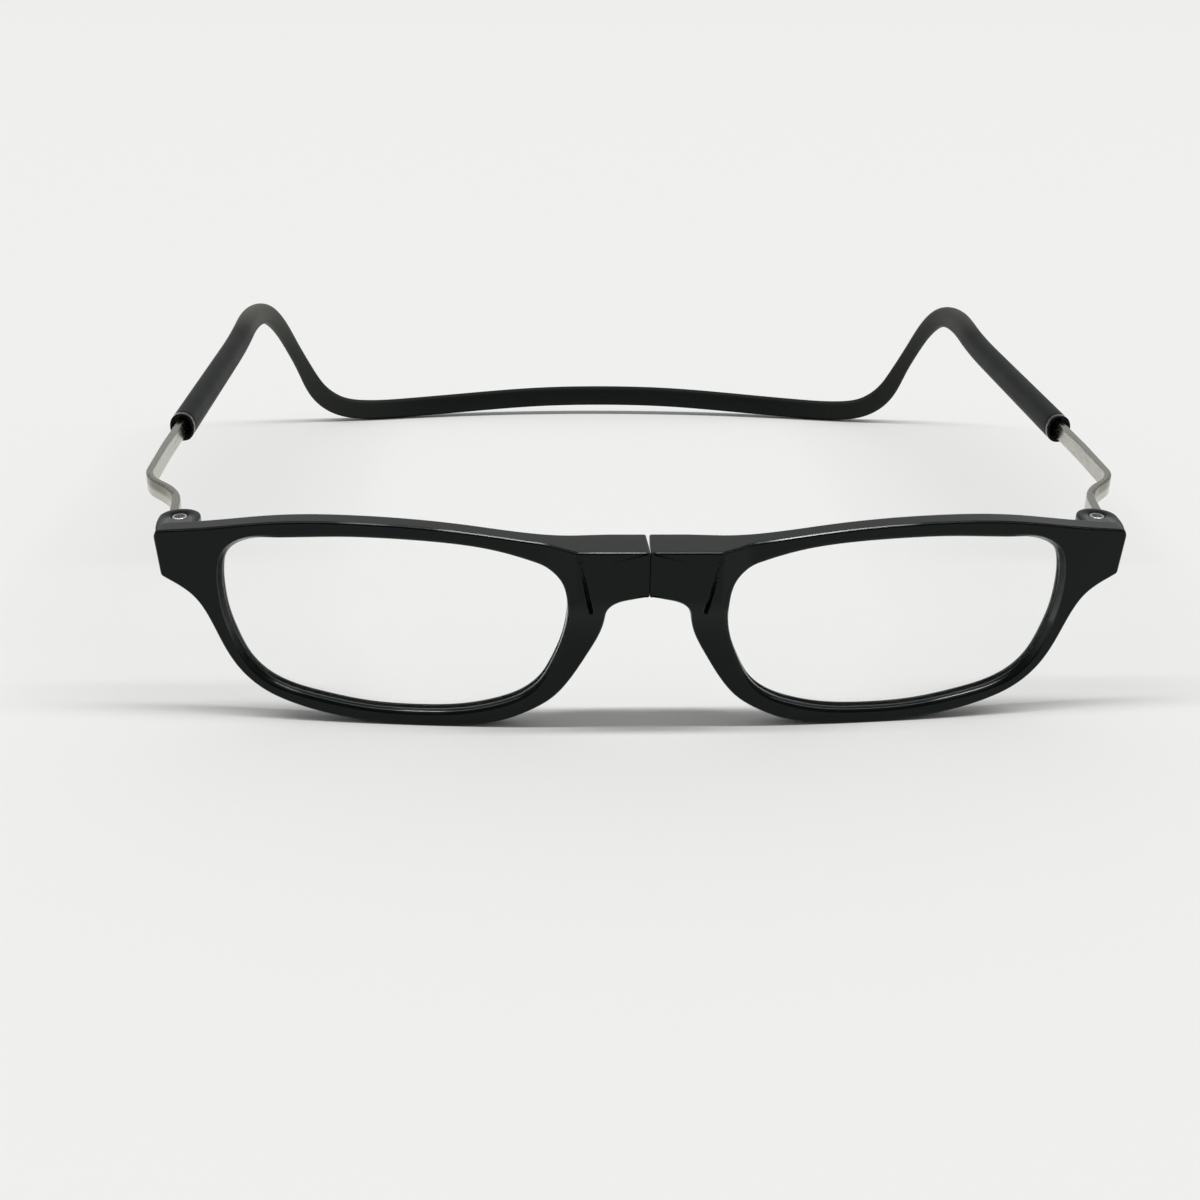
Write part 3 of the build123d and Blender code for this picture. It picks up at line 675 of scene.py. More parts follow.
# %% [markdown]
# ### The lens in its groove
#
# The lens is a meniscus between two spheres, cut to the opening's outline. Its edge sits in a
# groove of the rim, so the inner wall of the ring steps outwards between the two spheres.
# The same two spheres shape the groove and the lens, so the one always fits the other.

# %% Lens spheres
LENS_FRONT_RADIUS, LENS_BACK_RADIUS = 260.0, 1600.0
LENS_THICKNESS, LENS_INSET = 2.0, 1.35
GROOVE_DEPTH, GROOVE_PLAY = 0.8, 0.05

lens_x = NOSE_HALF_GAP + LENS_WIDTH / 2
lens_z = BOTTOM_BAND + LENS_HEIGHT / 2
lens_behind = np.array((-lens_x, APEX_Y + WRAP_RADIUS - wrap_y(lens_x), 0))
lens_behind /= np.linalg.norm(lens_behind)
half_lens = LENS_WIDTH / 2
lens_sag = (LENS_FRONT_RADIUS - math.sqrt(LENS_FRONT_RADIUS**2 - half_lens**2)
            - WRAP_RADIUS + math.sqrt(WRAP_RADIUS**2 - half_lens**2))
lens_vertex = np.array((lens_x, wrap_y(lens_x), lens_z)) + lens_behind * (LENS_INSET - lens_sag)


def sphere_y(x, z, radius, depth):
    """Y of the near side of a sphere whose vertex lies depth behind the lens front's vertex."""
    centre = lens_vertex + lens_behind * (radius + depth)
    return centre[1] - np.sqrt(radius**2 - (x - centre[0]) ** 2 - (z - centre[2]) ** 2)


def lens_front_y(x, z):
    """The lens's front sphere, from its own vertex."""
    return sphere_y(x, z, LENS_FRONT_RADIUS, 0)


def lens_back_y(x, z):
    """The flatter back sphere, which starts the lens's thickness further back."""
    return sphere_y(x, z, LENS_BACK_RADIUS, LENS_THICKNESS)


print("lens front's vertex at", np.round(lens_vertex, 2))

# %% [markdown]
# ### The section of the rim
#
# Now the rows of the ring. Its outer front edge is not a plain rounding. It has a narrow
# facet in the middle, and along the top that facet catches the long lamp as one thin bright
# line. At the outer end of the opening the inner edge goes over from a rounding into a
# straight slant. Rows lie close together where the surface turns, and a few extra rows hold
# the flat face flat up to the edge.

# %% The ring: rows round the section
FRONT_EDGE, SEAM_EDGE, INNER_EDGE, BACK_EDGE, INNER_BACK_EDGE = 0.42, 0.07, 0.8, 0.3, 0.12
SEAM_EDGE_END = (0.1, 0.7)
EDGE_ROWS = 5
# Front edge from the face to the wall, in shares (inwards, back): its middle is a narrow facet.
EDGE_STEPS = [(0.62, 0.075), (0.332, 0.198), (0.282, 0.273), (0.05, 0.623), (0, 0.698), (0, 1)]
FACE_ROWS = 48
# At its outer end the opening has a straight slanted edge, this deep, instead of a round one.
SLANT_FROM, SLANT_DEPTH = (54, 60), 1.1
MAGNET_RECESS = 0.45
MAGNET_DEPTH, MAGNET_HEIGHT = 4.2, 3.6
MAGNET_MIDDLE = ((FRONT_Y + BRIDGE_BACK_Y) / 2, (BRIDGE_TOP + BRIDGE_BOTTOM) / 2)


def seam_x(y):
    """Half of the gap at the seam, which opens from front to back."""
    share = (y - FRONT_Y) / BRIDGE_DEPTH
    return (SEAM_FRONT_GAP + (SEAM_BACK_GAP - SEAM_FRONT_GAP) * np.clip(share, 0, 1)) / 2


def section_rows():
    """Every row of the ring as points (columns, 3), in order round the section."""
    quarter = np.linspace(0, math.pi / 2, EDGE_ROWS)
    rows = []

    def row(flat, y):
        """Adds a row: places in the front view and a depth for each."""
        rows.append(np.stack([flat[:, 0], y, flat[:, 1]], 1))

    def front_of(flat):
        """Depth of the front at places in the front view."""
        return front_y(flat[:, 0], flat[:, 1])

    def back_of(flat):
        """Depth of the back there, which also needs the distance from the outer edge."""
        return back_y(flat[:, 0], flat[:, 1], np.linalg.norm(flat - outer_line, axis=1))

    off_seam = smooth_step(*SEAM_EDGE_END, outer_line[:, 0])
    front_edge = SEAM_EDGE + (FRONT_EDGE - SEAM_EDGE) * off_seam
    inner_front = inner_line + inner_out * INNER_EDGE
    outer_front = outer_line - outer_out * front_edge[:, None]
    inner_back = inner_line + inner_out * INNER_BACK_EDGE
    outer_back = outer_line - outer_out * BACK_EDGE
    slanted = smooth_step(*SLANT_FROM, inner_line[:, 0])
    for angle in quarter[:-1]:
        left = 1 - angle / (math.pi / 2)
        inwards = INNER_EDGE * ((1 - slanted) * (1 - math.cos(angle)) + slanted * (1 - left))
        back = INNER_EDGE * (1 - slanted) * (1 - math.sin(angle)) + SLANT_DEPTH * slanted * left
        row(inner_line + inner_out * inwards[:, None], front_of(inner_front) + back)
    shares = np.concatenate([np.linspace(0, 0.42, 32), np.linspace(0.42, 0.95, 14)[1:],
                             [0.975, 0.99, 1]])
    assert len(shares) == FACE_ROWS
    for share in shares:
        flat = inner_front + (outer_front - inner_front) * share
        row(flat, front_of(flat))
    for inwards, back in EDGE_STEPS:
        flat = outer_line - outer_out * front_edge[:, None] * inwards
        row(flat, front_of(outer_front) + front_edge * back)
    wall_front, wall_back = front_of(outer_front) + front_edge, back_of(outer_back) - BACK_EDGE
    for share in np.linspace(0, 1, 26)[1:-1]:
        row(outer_line, wall_front + (wall_back - wall_front) * share)
    for angle in quarter:
        flat = outer_line - outer_out * BACK_EDGE * (1 - math.cos(angle))
        row(flat, back_of(outer_back) - BACK_EDGE * (1 - math.sin(angle)))
    for share in np.linspace(0, 1, 22)[1:]:
        flat = outer_back + (inner_back - outer_back) * share
        row(flat, back_of(flat))
    for angle in quarter[1:]:
        flat = inner_line + inner_out * INNER_BACK_EDGE * (1 - math.sin(angle))
        row(flat, back_of(inner_back) - INNER_BACK_EDGE * (1 - math.cos(angle)))
    in_groove = inner_line + inner_out * GROOVE_DEPTH
    lens_back = lens_back_y(inner_line[:, 0], inner_line[:, 1]) + GROOVE_PLAY
    lens_front = lens_front_y(inner_line[:, 0], inner_line[:, 1]) - GROOVE_PLAY
    row(inner_line, lens_back + GROOVE_PLAY)
    row(inner_line + inner_out * GROOVE_PLAY, lens_back)
    row(in_groove, lens_back)
    row(in_groove, lens_front)
    row(inner_line + inner_out * GROOVE_PLAY, lens_front)
    row(inner_line, lens_front - GROOVE_PLAY)
    return np.stack(rows, 1)


# %% [markdown]
# ### Seam, pocket and buffed edges
#
# At the seam the two halves touch in front and part a little towards the back, and a pocket
# for the magnet is sunk into the seam face. Both are shifts of points of the finished ring.
# The buffed stretches are measured on the photo: they say where the bright lines start and
# end, and both halves have their own, since the lines are not the same on both sides.

# %% Points and mask of the ring
GAP_END = (0.2, 1.5)
POLISH_FADE, SLANT_POLISH_FROM = 1.5, (8, 13)


def ring_points():
    """The section's rows, opened at the seam, with the magnet's pocket sunk into the seam face."""
    points = section_rows()
    x, y, z = points[..., 0], points[..., 1], points[..., 2]
    beside_seam = 1 - smooth_step(*GAP_END, x)
    away_y = np.abs(y - MAGNET_MIDDLE[0]) / (MAGNET_DEPTH / 2)
    away_z = np.abs(z - MAGNET_MIDDLE[1]) / (MAGNET_HEIGHT / 2)
    pocket = 1 - smooth_step(1.0, 1.14, (away_y**6 + away_z**6) ** (1 / 6))
    points[..., 0] = x + seam_x(y) * beside_seam + MAGNET_RECESS * pocket * (x < 0.1)
    return points


def polish_mask(stretches):
    """1 on the facet of the upper front edge and on the lower rounding of the opening, along the
    stretches (x from, x to, strength), which fade out at their ends."""
    mask = np.zeros(RING.shape[:2])
    first = EDGE_ROWS - 1 + FACE_ROWS
    x, z = RING[..., 0], RING[..., 2]
    for name, rows, where in (("upper edge", slice(first + 1, first + 5), z > BRIDGE_TOP - 1),
                              ("opening", slice(1, 3), z < 12)):
        for low, high, strength in stretches[name]:
            starts = smooth_step(low - POLISH_FADE, low + POLISH_FADE, x)
            ends = smooth_step(high - POLISH_FADE, high + POLISH_FADE, x)
            mask[:, rows] = np.maximum(mask, strength * starts * (1 - ends) * where)[:, rows]
    slant = slice(0, EDGE_ROWS - 1)
    wall = stretches["slanted edge"] * smooth_step(*SLANT_FROM, x) * smooth_step(*SLANT_POLISH_FROM, z)
    mask[:, slant] = np.maximum(mask, wall)[:, slant]
    return mask


RING = ring_points()
print("ring", RING.shape, "from", np.round(RING.min((0, 1)), 2), "to", np.round(RING.max((0, 1)), 2))

# %% [markdown]
# ### The hinge lug
#
# Behind the end piece stands a D-shaped lug with a slot across it. The bar's eye turns in the
# slot, and a screw goes down through both leaves. Each leaf is a surface round the screw's
# axis, whose radius is that of the D in each direction, and a web joins them on the inner
# side. The lug rides and is finished with the front, so it is one piece with the rim here.

# %% Lug surfaces
HINGE_X, HINGE_Y = TIP_X - 2.7, TIP_Y + RIM_DEPTH + 2.75
LUG_RADIUS, LUG_LONG, LUG_BURY, LUG_HEIGHT, LUG_EDGE = 3.1, 8.6, 0.75, 6.4, 0.3
LUG_TOP = END_TOP
BAR_THICKNESS, BAR_HEIGHT, SLOT_PLAY = 1.15, 3.0, 0.05
EYE_RADIUS, EYE_CLEARANCE = 1.9, 0.35
SLOT_TOP = LUG_TOP - 1.15
SLOT_BOTTOM = SLOT_TOP - BAR_HEIGHT - 2 * SLOT_PLAY
BAR_Z = (SLOT_TOP + SLOT_BOTTOM) / 2
HEAD_HOLE, HEAD_HOLE_DEPTH = 1.27, 0.6
INSERT_HOLE, INSERT_HOLE_DEPTH = 1.35, 1.6
ROUND_COLUMNS, WEB_ANGLES = 96, (136, 318)


def lug_reach(angle):
    """Radius of the D: a circle behind the screw; in front of it a straight side towards the nose
    and a long quarter ellipse on the outside, which carries the curve on into the end piece."""
    neck = HINGE_Y - wrap_y(HINGE_X) - LUG_BURY
    forward = np.maximum(-np.sin(angle), 1e-6)
    sideways = np.maximum(np.abs(np.cos(angle)), 1e-6)
    ellipse = 1 / np.hypot(sideways / LUG_RADIUS, forward / LUG_LONG)
    side = np.where(np.cos(angle) > 0, ellipse, LUG_RADIUS / sideways)
    return np.where(np.sin(angle) < 0, np.minimum(side, neck / forward), LUG_RADIUS)


def turned(profile, centre, angles):
    """Columns at the angles and rows along the profile (radius in each direction, height)."""
    points = [np.stack([centre[0] + radius * np.cos(angles), centre[1] + radius * np.sin(angles),
                        height + 0 * angles], 1) for radius, height in profile]
    return np.stack(points, 1)


def edge_arc(radius, height, edge, turn_from, turn_to, up):
    """Profile points of a rounded edge: in by edge (1 - cos), up or down by edge sin."""
    return [(radius - edge * (1 - math.cos(a)), height + up * edge * (math.sin(a) - 1))
            for a in np.linspace(turn_from, turn_to, EDGE_ROWS)]


def leaf(outer, hole, hole_depth, face_z, far_z):
    """A leaf from face_z, where the hole opens, to far_z, with the outer edge at the face round."""
    up = 1 if face_z > far_z else -1
    floor_z = face_z - up * hole_depth
    profile = [(0, floor_z), (hole, floor_z), (hole, face_z - up * 0.1), (hole + 0.1, face_z)]
    profile += edge_arc(outer, face_z, LUG_EDGE, math.pi / 2, 0, up)
    return profile + [(outer, far_z), (0, far_z)]


def web_shell():
    """The L-shaped wall between the leaves, as a closed strip round its outline. It goes as far
    round the screw as it can without touching the bar when the front is swung out."""
    angles = np.linspace(*np.radians(WEB_ANGLES), 60)
    reach = lug_reach(angles)
    wall = np.stack([HINGE_X + reach * np.cos(angles), HINGE_Y + reach * np.sin(angles)], 1)
    low_x, low_y = HINGE_X - EYE_RADIUS - EYE_CLEARANCE, HINGE_Y - EYE_RADIUS - EYE_CLEARANCE
    loop = np.concatenate([wall, [(low_x, low_y), (low_x, wall[0, 1])]])
    middle = np.repeat([[low_x, low_y]], len(loop), axis=0)
    rows = [(middle, SLOT_BOTTOM - SLOT_PLAY), (loop, SLOT_BOTTOM - SLOT_PLAY),
            (loop, SLOT_TOP + SLOT_PLAY), (middle, SLOT_TOP + SLOT_PLAY)]
    return np.stack([np.column_stack([flat, np.full(len(flat), z)]) for flat, z in rows], 1)


# %% [markdown]
# ### Both front halves
#
# The ring and the three shells of the lug go into one mesh per side. The stretches of buffed edge are in
# millimetres from the seam, each with its strength. Two glossy edges that meet would have a light line
# between them, but the real bridge is dark there, in the shade of the gap. So a strip of faces along the
# front of the seam gets the plastic without gloss as painted shade.

# %% Front halves
SEAM_STRIP_WIDTH, SEAM_STRIP_DEPTH, SEAM_STRIP_ENDS = 0.12, 0.8, 0.4
angles = np.linspace(0, 2 * math.pi, ROUND_COLUMNS, endpoint=False)
d_shape = lug_reach(angles)
lug_shells = [
    (turned(leaf(d_shape, HEAD_HOLE, HEAD_HOLE_DEPTH, LUG_TOP, SLOT_TOP), (HINGE_X, HINGE_Y), angles),
     True, False),
    (turned(leaf(d_shape, INSERT_HOLE, INSERT_HOLE_DEPTH, LUG_TOP - LUG_HEIGHT, SLOT_BOTTOM),
            (HINGE_X, HINGE_Y), angles), True, False),
    (web_shell(), True, False),
]
SIDES = {"left": 1, "right": -1}
BUFFED = {
    "left": {"upper edge": [(18.4, 39.2, 0.8)], "opening": [(46, 55, 1)], "slanted edge": 0.8},
    "right": {"upper edge": [(1, 9, 0.3), (15, 30.5, 0.8), (38.5, 44.5, 0.6)],
              "opening": [(30.5, 37.5, 0.7), (53.5, 57, 1)], "slanted edge": 0.8},
}


def paint_seam_shade(piece):
    """Gives the faces whose middle lies in the strip along the seam the plastic without gloss, which
    paints the shade of the gap there.
    """
    middles = np.empty(3 * len(piece.data.polygons))
    piece.data.polygons.foreach_get("center", middles)
    x, y, z = middles.reshape(-1, 3).T / METRES_PER_MM
    strip = (np.abs(x) < SEAM_STRIP_WIDTH) & (y < FRONT_Y + SEAM_STRIP_DEPTH)
    strip &= (z > BRIDGE_BOTTOM + SEAM_STRIP_ENDS) & (z < BRIDGE_TOP - SEAM_STRIP_ENDS)
    piece.data.materials.append(SEAM_SHADE_PLASTIC)
    piece.data.polygons.foreach_set("material_index", strip.astype(np.int32))
    print(piece.name, "has", int(strip.sum()), "dull faces at the seam")


for side, sign in SIDES.items():
    rim = make_piece(f"{side}_front", [(RING, True, True), *lug_shells], sign,
                     ("polish", polish_mask(BUFFED[side])))
    settle(rim, f"{side}_front", f"{side}_frame", FRONT_PLASTIC)
    paint_seam_shade(rim)

# %% [markdown]
# ## Lenses
#
# A lens could be left as the CAD node, but its facets would show as steps in what is seen
# through it. This one is a grid from the middle of the front, over the edge, to the middle of
# the back: the outline shrunk towards the middle, and the height taken from the two spheres.

# %% Lens surfaces
def lens_grid():
    """Rows at shares of the outline from the middle outwards, in front and then behind."""
    outline = inner_line + inner_out * (GROOVE_DEPTH - 2 * GROOVE_PLAY)
    middle = np.array((lens_x, lens_z))
    shares = np.sin(np.linspace(0, math.pi / 2, 28))
    rows = []
    for surface_y, order in ((lens_front_y, shares), (lens_back_y, shares[::-1])):
        for share in order:
            x, z = (middle + (outline - middle) * share).T
            rows.append(np.stack([x, surface_y(x, z), z], 1))
    return np.stack(rows, 1)[::2]


LENS = lens_grid()
for side, sign in SIDES.items():
    lens = make_piece(f"{side}_clear_lens", [(LENS, True, False)], sign)
    settle(lens, f"{side}_front", f"{side}_lens", CLEAR_LENS)


# %% [markdown]
# ## Magnets
#
# With the halves swung apart, a plated block magnet shows in each seam face, sunk a little
# into its pocket. Its edges are broken, so it is a block with a superellipse for a section.

# %% Magnet blocks
MAGNET_LENGTH, MAGNET_EDGE = 5.0, 0.25


def magnet_grid():
    """Rows from the middle of one end, round the edge, along the block, to the other end."""
    around = angles
    corner = np.abs(np.cos(around)) ** 6 + np.abs(np.sin(around)) ** 6
    shape = np.stack([np.cos(around) * MAGNET_DEPTH / 2, np.sin(around) * MAGNET_HEIGHT / 2], 1)
    shape *= (corner ** (-1 / 6))[:, None]
    near, far = MAGNET_RECESS, MAGNET_RECESS + MAGNET_LENGTH
    steps = [(0, near), (1 - 2 * MAGNET_EDGE / MAGNET_HEIGHT, near), (1, near + MAGNET_EDGE),
             (1, far - MAGNET_EDGE), (1 - 2 * MAGNET_EDGE / MAGNET_HEIGHT, far), (0, far)]
    rows = [np.stack([np.full(len(shape), x), MAGNET_MIDDLE[0] + shape[:, 0] * share,
                      MAGNET_MIDDLE[1] + shape[:, 1] * share], 1) for share, x in steps]
    return np.stack(rows, 1)


for side, sign in SIDES.items():
    magnet = make_piece(f"{side}_magnet_block", [(magnet_grid(), True, False)], sign)
    settle(magnet, f"{side}_front", f"{side}_bridge_magnet", MAGNET_PLATE)

# %% [markdown]
# ## Hinge screws and inserts
#
# The screw head is only 2.3 mm across, but its rim and its cross recess catch the light in the photo. It
# is a surface round the axis again: a low dome, less a cross-shaped recess, then down the edge of the
# head and the shank. The steel is dark, and a mask paints highlights into its colour where it is bright
# in the photo: on the rim and along the edges of the cross. The insert is a small ring in the lower
# leaf.

# %% Screw surface
HEAD_RADIUS, HEAD_HEIGHT, HEAD_SINK, HEAD_DOME = 1.15, 0.45, 0.01, 0.07
SHANK_RADIUS, CROSS_WIDTH, CROSS_LENGTH, CROSS_DEPTH = 0.7, 0.34, 1.5, 0.25
BRIGHT_RIM = 0.36


def screw_grid():
    """Head from the middle outwards with the cross sunk in, then wall, shank and tip; and a mask of
    painted highlight that is 1 on the rim and along the edges of the cross."""
    columns = np.linspace(0, 2 * math.pi, 2 * ROUND_COLUMNS, endpoint=False)
    top = LUG_TOP - HEAD_SINK
    rows, painted_glint = [], []
    for radius in np.linspace(0, HEAD_RADIUS - 0.08, 34):
        x, y = radius * np.cos(columns), radius * np.sin(columns)
        narrow, long = np.minimum(np.abs(x), np.abs(y)), np.maximum(np.abs(x), np.abs(y))
        sunk = 1 - smooth_step(CROSS_WIDTH / 2 - 0.06, CROSS_WIDTH / 2 + 0.06, narrow)
        sunk *= 1 - smooth_step(CROSS_LENGTH / 2 - 0.12, CROSS_LENGTH / 2, long)
        z = top - HEAD_DOME * (radius / HEAD_RADIUS) ** 2 - CROSS_DEPTH * sunk
        rows.append(np.stack([HINGE_X + x, HINGE_Y + y, z], 1))
        # Painted highlight: the rim and the edges of the cross are lightened in colour.
        painted_glint.append(np.where(radius > HEAD_RADIUS - BRIGHT_RIM, 1.0, 4 * sunk * (1 - sunk)))
    low = LUG_TOP - LUG_HEIGHT + 0.1
    tail = [(HEAD_RADIUS, top - HEAD_DOME - 0.1), (HEAD_RADIUS, top - HEAD_HEIGHT),
            (SHANK_RADIUS, top - HEAD_HEIGHT), (SHANK_RADIUS, low + 0.1), (SHANK_RADIUS - 0.1, low),
            (0, low)]
    painted_glint += [np.full(len(columns), float(step == 0)) for step in range(len(tail))]
    grid = np.concatenate([np.stack(rows, 1), turned(tail, (HINGE_X, HINGE_Y), columns)], 1)
    return grid, np.stack(painted_glint, 1)


def insert_grid():
    """A short ring with its edges broken, closed round its section."""
    outer, inner, low, high = 1.3, SHANK_RADIUS + 0.03, LUG_TOP - LUG_HEIGHT + 0.1, 1.5
    high += low
    profile = [(inner, low + 0.05), (inner + 0.05, low), (outer - 0.1, low), (outer, low + 0.1),
               (outer, high - 0.05), (outer - 0.05, high), (inner, high)]
    return turned(profile, (HINGE_X, HINGE_Y), angles)


SCREW, GLINT_MASK = screw_grid()
for side, sign in SIDES.items():
    screw = make_piece(f"{side}_screw", [(SCREW, True, False)], sign, ("painted_glint", GLINT_MASK))
    settle(screw, f"{side}_front", f"{side}_hinge_screw", SCREW_STEEL)
    insert = make_piece(f"{side}_insert", [(insert_grid(), True, True)], sign)
    settle(insert, f"{side}_front", f"{side}_hinge_insert", INSERT_BRASS)

# %% [markdown]
# ## Temple bars
#
# Each bar is a flat strip standing on edge, bent twice just behind the hinge. The route in
# plan is a line with round bends, and a rectangle with broken edges is carried along it. A
# tube along a curve object would do that too, but it would twist where the curve turns, and
# here the section must stay upright.

# %% Route of the bar and a section carried along a path
BAR_DRIFT, BAR_NECK, BAR_KICK, BAR_KICK_RUN = 2.0, 13.65, 7.05, 7.4
BEND_RADII = (14.0, 9.0, 60.0)
BAR_TOE, BAR_PLAIN = 0.45, 13.0
NECK_THICKNESS, BAR_EDGE, BAR_SHADE_ON_TOP = 1.35, 0.16, 0.6
BAR_X = HINGE_X + EYE_RADIUS - BAR_THICKNESS / 2 + BAR_DRIFT + BAR_KICK
MOUTH_Y = HINGE_Y + 49.7
BAR_END_Y = MOUTH_Y + 30.0


def rounded_route(corners, radii, per_bend=14):
    """Straight runs joined by arcs: each arc starts radius tan(turn / 2) before its corner."""
    corners = np.array(corners, float)
    route = [corners[0]]
    for before, corner, after, radius in zip(corners, corners[1:], corners[2:], radii):
        arriving = (corner - before) / np.linalg.norm(corner - before)
        leaving = (after - corner) / np.linalg.norm(after - corner)
        turn = math.acos(arriving @ leaving)
        start = corner - arriving * radius * math.tan(turn / 2)
        inwards = leaving - arriving * (arriving @ leaving)
        inwards /= np.linalg.norm(inwards)
        for share in np.linspace(0, 1, per_bend):
            angle = turn * share
            route.append(start + arriving * radius * math.sin(angle)
                         + inwards * radius * (1 - math.cos(angle)))
    return np.array(route + [corners[-1]])


def carried(path, sections):
    """A section (width, height points) at every point of a path: across is up x along, level,
    and the section's own up is along x across."""
    along = np.gradient(path, axis=0)
    along /= np.linalg.norm(along, axis=1)[:, None]
    across = np.cross([0, 0, 1], along)
    across /= np.linalg.norm(across, axis=1)[:, None]
    upwards = np.cross(along, across)
    return path[:, None] + across[:, None] * sections[..., :1] + upwards[:, None] * sections[..., 1:]


def broken_rectangle(width, height, edge, per_side=7):
    """Points of a rectangle with rounded corners, once round, with more points on each side."""
    arc = np.linspace(0, math.pi / 2, 4)
    corners = []
    for quarter, (sx, sy) in enumerate(((1, 1), (-1, 1), (-1, -1), (1, -1))):
        turn = arc + quarter * math.pi / 2
        centre = np.array((sx * (width / 2 - edge), sy * (height / 2 - edge)))
        corners.append(centre + edge * np.stack([np.cos(turn), np.sin(turn)], 1))
    points = []
    for corner, following in zip(corners, corners[1:] + corners[:1]):
        points += [corner, np.linspace(corner[-1], following[0], per_side + 2)[1:-1]]
    return np.concatenate(points)


# %% [markdown]
# ### Strip and eye
#
# The strip is carried along the route, and a ring round the screw is its eye. Its top and the upper half
# of its outer side at the two bends are darker in the photo than its flanks. So the section has points
# between its corners, and a mask says where painted shade darkens the steel's colour.

# %% The strip and the eye
BAR_SHADE_FROM, BAR_SHADE_TO = (-3.5, -0.5), (BAR_KICK_RUN, BAR_KICK_RUN + 3)


def bar_strip():
    """The strip: the section at every step of the route, closed by its middle at both ends; and a mask
    of painted shade: its top, and the upper half of the outer side at the two bends."""
    start_x = HINGE_X + EYE_RADIUS - BAR_THICKNESS / 2
    route = rounded_route([(start_x, HINGE_Y), (start_x + BAR_DRIFT, HINGE_Y + BAR_NECK),
                           (BAR_X - BAR_TOE, HINGE_Y + BAR_NECK + BAR_KICK_RUN),
                           (BAR_X, MOUTH_Y - BAR_PLAIN), (BAR_X, BAR_END_Y)], BEND_RADII)
    flat = at_distances(route, np.linspace(0, distance_along(route)[-1], 240))
    path = np.column_stack([flat, np.full(len(flat), BAR_Z)])
    section = broken_rectangle(BAR_THICKNESS, BAR_HEIGHT, BAR_EDGE)
    past_neck = flat[:, 1] - HINGE_Y - BAR_NECK
    thick = 1 - smooth_step(0, BAR_KICK_RUN, past_neck)
    wider = 1 + (NECK_THICKNESS / BAR_THICKNESS - 1) * thick[:, None]
    sections = np.repeat(section[None], len(path), axis=0)
    sections[..., 0] *= wider
    strip = carried(path, sections)
    ends = [np.repeat(path[i][None, None], len(section), axis=1) for i in (0, -1)]
    # Painted shade: darker colour on the top and on the upper outer side at the two bends.
    at_bends = smooth_step(*BAR_SHADE_FROM, past_neck) * (1 - smooth_step(*BAR_SHADE_TO, past_neck))
    outer_side = (section[:, 0] < 0) * smooth_step(-0.35, 0.25, section[:, 1])
    top_side = smooth_step(BAR_HEIGHT / 2 - 0.2, BAR_HEIGHT / 2 - 0.05, section[:, 1])
    painted_shade = np.maximum(at_bends[:, None] * outer_side, BAR_SHADE_ON_TOP * top_side)
    return np.concatenate([ends[0], strip, ends[1]]), np.concatenate([painted_shade[:1], painted_shade, painted_shade[-1:]])


def bar_eye():
    """The eye round the screw, a ring with broken edges."""
    low, high, bore, edge = BAR_Z - BAR_HEIGHT / 2, BAR_Z + BAR_HEIGHT / 2, SHANK_RADIUS + 0.05, 0.12
    profile = [(bore, low), (EYE_RADIUS - edge, low), (EYE_RADIUS, low + edge),
               (EYE_RADIUS, high - edge), (EYE_RADIUS - edge, high), (bore, high)]
    return turned(profile, (HINGE_X, HINGE_Y), angles)


STRIP, BAR_SHADE_MASK = bar_strip()
for side, sign in SIDES.items():
    bar = make_piece(f"{side}_bar", [(STRIP, False, True), (bar_eye(), True, True)], sign,
                     ("painted_shade", BAR_SHADE_MASK))
    settle(bar, f"{side}_temple", f"{side}_temple_bar", BAR_STEEL)

# %% [markdown]
# ## Headband
#
# Both sleeves, both ear arches and the neck band are one soft moulding, so one surface goes
# from the bottom of one bore, out through its mouth, all the way round and into the other.
# Its section is an oval that gets slimmer behind the sleeves, and its route is a spline that rises over
# the ear, drops steeply and runs low round the neck. The plastic is paler in the photo where it goes
# over the ear, and that painted sheen is one more mask along the route.

# %% Route and thickness of the band
SLEEVE_WIDTH, SLEEVE_HEIGHT, SLEEVE_LENGTH = 4.3, 5.1, 45.7
BAND_WIDTH, BAND_HEIGHT, DROP_HEIGHT, ARCH_RISE = 2.6, 4.7, 3.3, 1.75
TAPER_START, TAPER_END, NECK_START, NECK_END = 0.18, 0.36, 0.37, 0.49
BUSH_FLANGE, BUSH_PLUG, BUSH_PLUG_WIDTH, BUSH_PLUG_HEIGHT = 1.3, 7.0, 3.3, 4.3
BORE_WIDTH, BORE_HEIGHT, BORE_SPARE = 2.5, 4.1, 2.0
SLEEVE_END_Y = MOUTH_Y + BUSH_FLANGE + SLEEVE_LENGTH
BAND_BACK_Y = cad_box[1][1] / METRES_PER_MM - BAND_WIDTH / 2
BAND_SHARES = np.array([
    (1.0, 0.14, 0.939), (1.0, 0.34, 0.958), (0.99, 0.556, 0.994), (0.967, 0.68, 0.952),
    (0.945, 0.743, 0.839), (0.917, 0.797, 0.63), (0.885, 0.833, 0.391), (0.848, 0.854, 0.173),
    (0.795, 0.869, 0.05), (0.72, 0.884, 0.005), (0.596, 0.917, 0.004), (0.411, 0.962, 0.03),
    (0.198, 0.991, 0.066), (0.0, 1.0, 0.076),
])


def band_half():
    """Half of the route behind the sleeve, from shares of half width, reach and height."""
    low = BAND_HEIGHT / 2
    size = (BAR_X, BAND_BACK_Y - SLEEVE_END_Y, BAR_Z + ARCH_RISE - low)
    points = np.array((0, SLEEVE_END_Y, low)) + BAND_SHARES * size
    start = [(BAR_X, SLEEVE_END_Y, BAR_Z)]
    return spline_through(np.concatenate([start, points]), (0, 1, 0), (-1, 0, 0))


